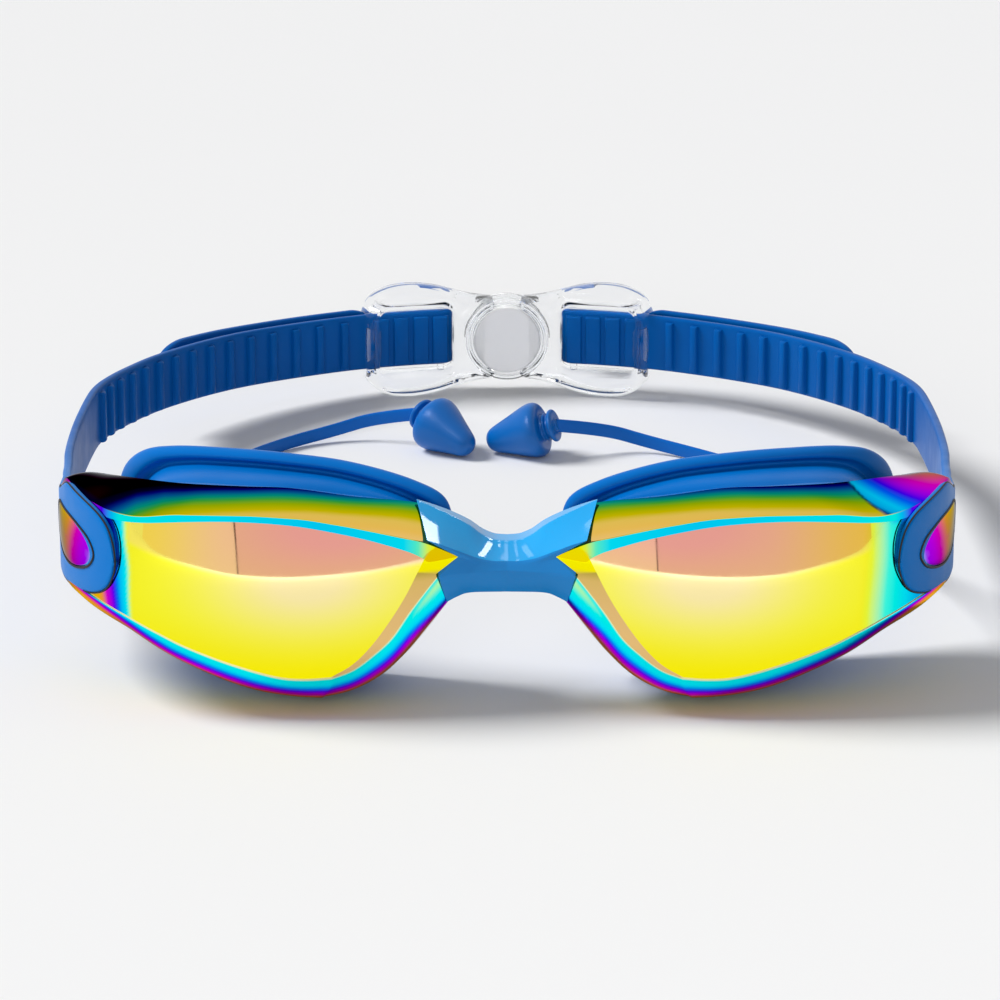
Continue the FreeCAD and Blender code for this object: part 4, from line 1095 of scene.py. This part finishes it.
def clasp_wing(B, mat=0):
    wing = [(3.0, 8.74), (4.8, 8.98), (7.6, 9.45), (11.0, 10.35), (15.0, 11.6), (20.0, 12.3), (25.0, 11.8), (28.4, 10.0), (30.1, 6.6),
            (30.45, 3.0), (30.5, 0.0)]
    up = dense(wing, 16)
    out = np.vstack([up, np.stack([up[::-1][1:, 0], -up[::-1][1:, 1]], 1)])
    cx = 19.5
    n = 200
    ang = np.linspace(-math.pi, math.pi, n, endpoint=False)

    def radius(poly, a):
        # ray from (cx, 0) against a closed polygon
        r = np.full(len(a), 0.0)
        for k in range(len(poly)):
            p, q = poly[k], poly[(k + 1) % len(poly)]
            d = q - p
            for j, t in enumerate(a):
                e = np.array([math.cos(t), math.sin(t)])
                den = e[0] * d[1] - e[1] * d[0]
                if abs(den) < 1e-12:
                    continue
                w = np.array([p[0] - cx, p[1]])
                s = (w[0] * d[1] - w[1] * d[0]) / den
                m = (w[0] * e[1] - w[1] * e[0]) / den
                if s > 0 and -1e-9 <= m <= 1 + 1e-9:
                    r[j] = max(r[j], s)
        return r
    outline = resample(out, 110, False)
    ro = radius(outline, ang)
    hw, hh, rc = 7.9, 7.1, 1.6
    win = []
    for (ox, oz, a0) in ((hw - rc, hh - rc, 0), (-hw + rc, hh - rc, 90), (-hw + rc, -hh + rc, 180), (hw - rc, -hh + rc, 270)):
        for a in np.linspace(a0, a0 + 90, 8):
            win.append((cx + ox + rc * math.cos(math.radians(a)), oz + rc * math.sin(math.radians(a))))
    ri = radius(np.array(win), ang)
    # the end bar on the head side is thin: the strap passes behind it
    endbar = step(0.50, 0.34, np.abs(ang))
    deep = DEEP - (DEEP - 1.45) * endbar
    prof = [(0.0, 0.10), (0.0, 0.5), (0.0, 0.90), (0.05, 1.0), (0.15, 1.0), (0.5, 1.0), (0.85, 1.0), (0.95, 1.0),
            (1.0, 0.90), (1.0, 0.5), (1.0, 0.10), (0.95, 0.0), (0.85, 0.0), (0.5, 0.0), (0.15, 0.0), (0.05, 0.0)]
    rows = []
    for d, f in prof:
        k = f
        r = ri * (1 - k) + ro * k
        depth = deep * d
        # soft outer and inner edges
        if d in (0.05, 0.95):
            r = r - (0.35 if f > 0.5 else -0.35)
        if d in (0.0, 1.0):
            r = np.clip(r, ri + 0.75, ro - 0.75) if f in (0.10, 0.90) else r
        x = cx + np.cos(ang) * r
        z = np.sin(ang) * r
        dome = 0.5 * (1 - (2 * k - 1) ** 2)
        nd = depth + (-dome if d == 0 else (dome if d == 1 else 0))
        X, Y = bow(x, nd)
        rows.append(B.points(np.stack([X, Y, CZ + z], 1)))
    for i in range(len(rows)):
        B.quads(rows[i], rows[(i + 1) % len(rows)], True, mat)
    # the bar that the band turns round
    ring0 = None
    for zz in np.linspace(-7.3, 7.3, 7):
        pts = []
        for a in np.linspace(0, 2 * math.pi, 16, endpoint=False):
            x, y = bow(14.1 + 0.75 * math.cos(a), 3.3 + 0.75 * math.sin(a))
            pts.append((x, y, CZ + zz))
        row = B.points(pts)
        if ring0 is not None:
            B.quads(ring0, row, True, mat)
        else:
            B.poly(row, mat)
        ring0 = row
    B.poly(ring0, mat, True)


def lathe_y(B, prof, mat=0, n=96, cx=0.0):
    """prof: (radius, Y) closed profile turned about the hub axis."""
    rows = []
    a = np.linspace(0, 2 * math.pi, n, endpoint=False)
    for r, y in prof:
        rows.append(B.points(np.stack([cx + r * np.cos(a), np.full(n, y), CZ + r * np.sin(a)], 1)))
    for i in range(len(rows)):
        B.quads(rows[i], rows[(i + 1) % len(rows)], True, mat)


def clasp(side):
    B = Build()
    clasp_wing(B)
    h = CY0
    if side < 0:
        lathe_y(B, [(7.9, h + 3.3), (7.9, h + 0.7), (7.95, h + 0.1), (8.1, h - 0.3), (8.45, h - 0.45), (8.85, h - 0.3),
                    (9.05, h + 0.05), (9.1, h + 0.9), (9.1, h + 3.2), (9.0, h + 3.55), (8.8, h + 3.7), (8.3, h + 3.7),
                    (8.0, h + 3.6)])
        mats = [M_CLEAR]
    else:
        # base behind the ring, boss inside it, with a bore for the button
        lathe_y(B, [(5.5, h + 7.0), (5.5, h + 2.5), (5.3, h + 2.2), (0.02, h + 2.2), (0.02, h + 1.2), (7.1, h + 1.2),
                    (7.45, h + 1.3), (7.55, h + 1.6), (7.6, h + 2.2), (7.6, h + 3.9), (8.7, h + 4.0), (9.05, h + 4.2),
                    (9.15, h + 4.6), (9.15, h + 6.3), (9.0, h + 6.75), (8.6, h + 7.0), (6.0, h + 7.0)])
        # flat frosted face of the hub
        lathe_y(B, [(0.02, h - 0.42), (6.75, h - 0.42), (7.14, h - 0.34), (7.35, h - 0.1), (7.35, h + 1.1), (0.02, h + 1.1)], 1)
        mats = [M_CLEAR, M_DISC]
    o = B.make("clasp_ring_look" if side < 0 else "clasp_boss_look", mats, mirror=side < 0)
    smooth_by_angle(o, 38)
    return o


# ---------------------------------------------------------------- ear plugs
def plug(at, d, name):
    B = Build()
    L, n = 12.4, 72
    pr = [(0.02, 11.7), (0.8, 11.62), (1.6, 11.3), (2.25, 10.7), (2.7, 9.9), (3.05, 9.0), (3.6, 7.5), (4.25, 5.7),
          (4.9, 4.0), (5.4, 2.6), (5.72, 1.5), (5.82, 0.6), (5.7, -0.15), (5.3, -0.75), (4.6, -1.1), (3.7, -1.2),
          (2.95, -1.2), (2.7, -1.4), (2.65, -1.75), (2.95, -1.9), (3.0, -2.15), (2.7, -2.35), (2.5, -2.5), (2.5, -2.95),
          (3.1, -3.05), (3.42, -3.3), (3.45, -3.7), (3.2, -3.98), (2.3, -4.05), (1.3, -4.05), (1.25, -4.4), (0.02, -4.45)]
    D = dense(pr, 4)
    D[:, 0] = np.maximum(D[:, 0], 0.02)
    t = math.radians(18.0)
    s = math.hypot(*d)
    ax = np.array([d[0] / s * math.cos(t), d[1] / s * math.cos(t), -math.sin(t)])
    e1 = np.cross(ax, [0, 0, 1.0])
    e1 /= np.linalg.norm(e1)
    e2 = np.cross(ax, e1)
    a = np.linspace(0, 2 * math.pi, n, endpoint=False)
    rows = []
    pts_all = []
    for r, h in D:
        P = h * ax[None] + r * (np.cos(a)[:, None] * e1 + np.sin(a)[:, None] * e2)
        pts_all.append(P)
    low = min(p[:, 2].min() for p in pts_all)
    for P in pts_all:
        P = P + np.array([at[0], at[1], -low + 0.02])
        rows.append(B.points(P))
    for i in range(len(rows) - 1):
        B.quads(rows[i], rows[i + 1], True)
    o = B.make(name, [M_PLUG])
    smooth_by_angle(o, 60)
    root = np.array([at[0], at[1], -low + 0.02]) + ax * (-3.9)
    return o, root


# ---------------------------------------------------------------- leads
LEAD_LEFT = [(-76.6, -27.0, 24.0), (-76.6, -16.0, 23.6), (-77.0, -2.0, 17.6), (-76.6, 15.0, 7.8),
             (-75.0, 33.0, 2.3), (-71.5, 51.0, 1.5), (-64.5, 73.0, 1.45), (-54.5, 92.0, 1.45),
             (-45.5, 103.4, 1.45), (-36.6, 108.6, 2.4), (-28.0, 109.8, 4.9), (-18.28, 104.87, 7.11)]
LEAD_RIGHT = [(76.6, -27.0, 24.0), (76.6, -16.0, 23.6), (76.9, -3.0, 18.4), (76.3, 12.5, 9.4),
              (74.6, 29.0, 2.9), (70.5, 46.0, 1.5), (62.0, 65.0, 1.45), (51.0, 82.5, 1.45),
              (39.6, 94.0, 1.45), (29.6, 100.0, 2.4), (20.6, 100.6, 5.0), (10.16, 95.96, 7.11)]


def lead(pts, name, node):
    cu = bpy.data.curves.new(name, "CURVE")
    cu.dimensions = "3D"
    sp = cu.splines.new("NURBS")
    sp.points.add(len(pts) - 1)
    P = to_m(np.array(pts))
    for p, q in zip(sp.points, P):
        p.co = (q[0], q[1], q[2], 1.0)
    sp.order_u = 3
    sp.use_endpoint_u = True
    sp.resolution_u = 14
    cu.twist_mode = "Z_UP"
    cu.extrude = 0.00100
    cu.bevel_depth = 0.00040
    cu.bevel_resolution = 2
    cu.use_fill_caps = True
    cu.materials.append(M_LEAD)
    o = bpy.data.objects.new(name, cu)
    bpy.context.scene.collection.objects.link(o)
    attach(o, "goggle_front")
    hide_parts(node)
    return o


# ---------------------------------------------------------------- build all
for side in (-1, 1):
    w = "left" if side < 0 else "right"
    o = lens(side)
    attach(o, "goggle_front")
    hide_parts(w + "_lens")
    o = gasket(side)
    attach(o, "goggle_front")
    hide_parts(w + "_gasket")
    o = clasp(side)
    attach(o, "head_strap")
    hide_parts("clasp_ring_half" if side < 0 else "clasp_boss_half")
    o = strap(side)
    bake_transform(o)
    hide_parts(w + "_strap", w + "_strap_pad")

o = bridge_look = bridge()
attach(o, "goggle_front")
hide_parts("nose_bridge")

pl, root_l = plug((-15.6, 102.3), (0.72, -0.69), "left_earplug_look")
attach(pl, "goggle_front")
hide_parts("left_earplug")
pr_, root_r = plug((6.6, 97.0), (-0.96, 0.28), "right_earplug_look")
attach(pr_, "goggle_front")
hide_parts("right_earplug")
lead(LEAD_LEFT, "left_lead_look", "left_lead")
lead(LEAD_RIGHT, "right_lead_look", "right_lead")

B = Build()
lathe_y(B, [(0.02, CY0 + 3.7), (5.0, CY0 + 3.7), (5.2, CY0 + 3.9), (5.2, CY0 + 7.3), (5.12, CY0 + 7.6), (4.85, CY0 + 7.77),
            (4.45, CY0 + 7.8), (4.0, CY0 + 7.72), (3.0, CY0 + 7.55), (1.5, CY0 + 7.46), (0.02, CY0 + 7.43)])
o = B.make("clasp_button_look", [M_DISC])
smooth_by_angle(o, 45)
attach(o, "button")
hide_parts("clasp_button")

for nm, mt in (("left_lead_anchor", M_LEAD), ("right_lead_anchor", M_LEAD)):
    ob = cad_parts[nm]
    ob.data.materials.clear()
    ob.data.materials.append(mt)

# ---------------------------------------------------------------- stage
fm, nt, b = node_mat("floor_white")
vary(nt, b, (0.86, 0.86, 0.862), (0.87, 0.87, 0.872), 3.0)
b.inputs["Roughness"].default_value = 0.7
b.inputs["Specular IOR Level"].default_value = 0.2
me = bpy.data.meshes.new("floor")
me.from_pydata([(-6, -6, 0), (6, -6, 0), (6, 6, 0), (-6, 6, 0)], [], [(0, 1, 2, 3)])
me.materials.append(fm)
floor = bpy.data.objects.new("floor", me)
bpy.context.scene.collection.objects.link(floor)


def card(name, corners, colour, strength, only=None, clear=False):
    """A glowing studio card seen only in reflections, of the pieces in only."""
    m = bpy.data.materials.new(name)
    m.use_nodes = True
    nt = m.node_tree
    nt.nodes.clear()
    e = nt.nodes.new("ShaderNodeEmission")
    e.inputs["Color"].default_value = (*colour, 1)
    e.inputs["Strength"].default_value = strength
    o_ = nt.nodes.new("ShaderNodeOutputMaterial")
    if clear:
        tr = nt.nodes.new("ShaderNodeBsdfTransparent")
        ad = nt.nodes.new("ShaderNodeAddShader")
        nt.links.new(e.outputs[0], ad.inputs[0])
        nt.links.new(tr.outputs[0], ad.inputs[1])
        nt.links.new(ad.outputs[0], o_.inputs[0])
    else:
        nt.links.new(e.outputs[0], o_.inputs[0])
    me = bpy.data.meshes.new(name)
    me.from_pydata(corners, [], [(0, 1, 2, 3)])
    me.materials.append(m)
    o = bpy.data.objects.new(name, me)
    bpy.context.scene.collection.objects.link(o)
    o.visible_camera = False
    o.visible_diffuse = False
    o.visible_shadow = False
    o.visible_transmission = False
    if only is not None:
        o.light_linking.receiver_collection = only
    return o


def group(name, objects):
    c = bpy.data.collections.new(name)
    for x in objects:
        c.objects.link(x)
    return c


FOR_BRIDGE = group("cards_for_bridge", [bridge_look])
card("card_soft", [(-0.75, -0.35, 0.75), (-0.35, -0.75, 0.75), (-0.25, -0.45, 1.05), (-0.55, -0.15, 1.05)],
     (1.0, 1.0, 1.0), 9.0, group("cards_for_plugs", [pl, pr_]), True)


def front_card(name, a0, a1, z0, z1, dist, colour, strength):
    p = []
    for a, z in ((a0, z0), (a1, z0), (a1, z1), (a0, z1)):
        r = dist / math.cos(math.radians(a))
        p.append((r * math.sin(math.radians(a)), -r * math.cos(math.radians(a)), z))
    return card(name, p, colour, strength)


front_card("card_left", -58, -10.3, 0.002, 1.15, 2.6, (0.88, 0.74, 0.64), 1.0)
front_card("card_right", -10.3, 58, 0.002, 1.15, 2.6, (0.84, 0.60, 0.60), 0.95)
# small bright windows high behind the object, for the glossy bridge
for i, (wx, wy, wz, hw, hh, g) in enumerate(((0.61, 0.775, 1.075, 0.10, 0.24, 16.0), (0.17, 0.60, 1.36, 0.03, 0.05, 9.0),
                                             (0.03, 0.69, 1.30, 0.07, 0.20, 2.6), (-0.20, 0.66, 1.32, 0.05, 0.17, 2.4),
                                             (-0.57, 0.80, 1.08, 0.09, 0.20, 2.6))):
    card("card_window_%d" % i, [(wx - hw, wy - hh * 0.7, wz + hh * 0.7), (wx + hw, wy - hh * 0.7, wz + hh * 0.7),
                                (wx + hw, wy + hh * 0.7, wz - hh * 0.7), (wx - hw, wy + hh * 0.7, wz - hh * 0.7)],
         (1.0, 1.0, 1.0), g, FOR_BRIDGE, True)
front_card("card_seam", -10.4, -10.2, 0.002, 1.15, 2.55, (0.10, 0.07, 0.06), 0.6)

world = bpy.data.worlds.new("studio")
bpy.context.scene.world = world
world.use_nodes = True
nt = world.node_tree
bg = nt.nodes["Background"]
bg.inputs["Color"].default_value = (0.985, 0.99, 1.0, 1)
bg.inputs["Strength"].default_value = 0.30
lp = nt.nodes.new("ShaderNodeLightPath")
bg2 = nt.nodes.new("ShaderNodeBackground")
bg2.inputs["Color"].default_value = (0.98, 0.99, 1.0, 1)
bg2.inputs["Strength"].default_value = 0.88
mxs = nt.nodes.new("ShaderNodeMixShader")
nt.links.new(lp.outputs["Is Glossy Ray"], mxs.inputs["Fac"])
nt.links.new(bg.outputs[0], mxs.inputs[1])
nt.links.new(bg2.outputs[0], mxs.inputs[2])
nt.links.new(mxs.outputs[0], nt.nodes["World Output"].inputs["Surface"])


def area(name, loc, aim, size, power, colour=(1, 1, 1)):
    l = bpy.data.lights.new(name, "AREA")
    l.shape = "RECTANGLE"
    l.size, l.size_y = size
    l.energy = power
    l.color = colour
    o = bpy.data.objects.new(name, l)
    o.location = loc
    from mathutils import Vector
    o.rotation_euler = (Vector(aim) - Vector(loc)).to_track_quat("-Z", "Y").to_euler()
    bpy.context.scene.collection.objects.link(o)
    o.visible_glossy = False
    return o


sun = bpy.data.lights.new("key", "SUN")
sun.energy = 3.0
sun.angle = math.radians(26.0)
so = bpy.data.objects.new("key", sun)
so.rotation_euler = (math.radians(-9.2), math.radians(-43.5), 0)
so.visible_glossy = False
bpy.context.scene.collection.objects.link(so)
area("fill", (-0.25, -2.2, 0.62), (0, 0, 0.02), (1.2, 0.7), 13.0)

scene = bpy.context.scene
scene.view_settings.view_transform = "Standard"
scene.view_settings.look = "None"

# ---------------------------------------------------------------- camera
A = math.radians(17.0)
cam = bpy.data.cameras.new("camera")
cam.sensor_width = 36.0
cam.lens = 36.0 * 5200.0 / 1000.0
cam.shift_x = -0.007
cam.clip_start = 0.05
cam.clip_end = 30.0
co = bpy.data.objects.new("camera", cam)
co.location = (0.0, -math.cos(A) + YS * 0.001, 0.020 + math.sin(A))
co.rotation_euler = (math.pi / 2 - A, 0, 0)
scene.collection.objects.link(co)
scene.camera = co
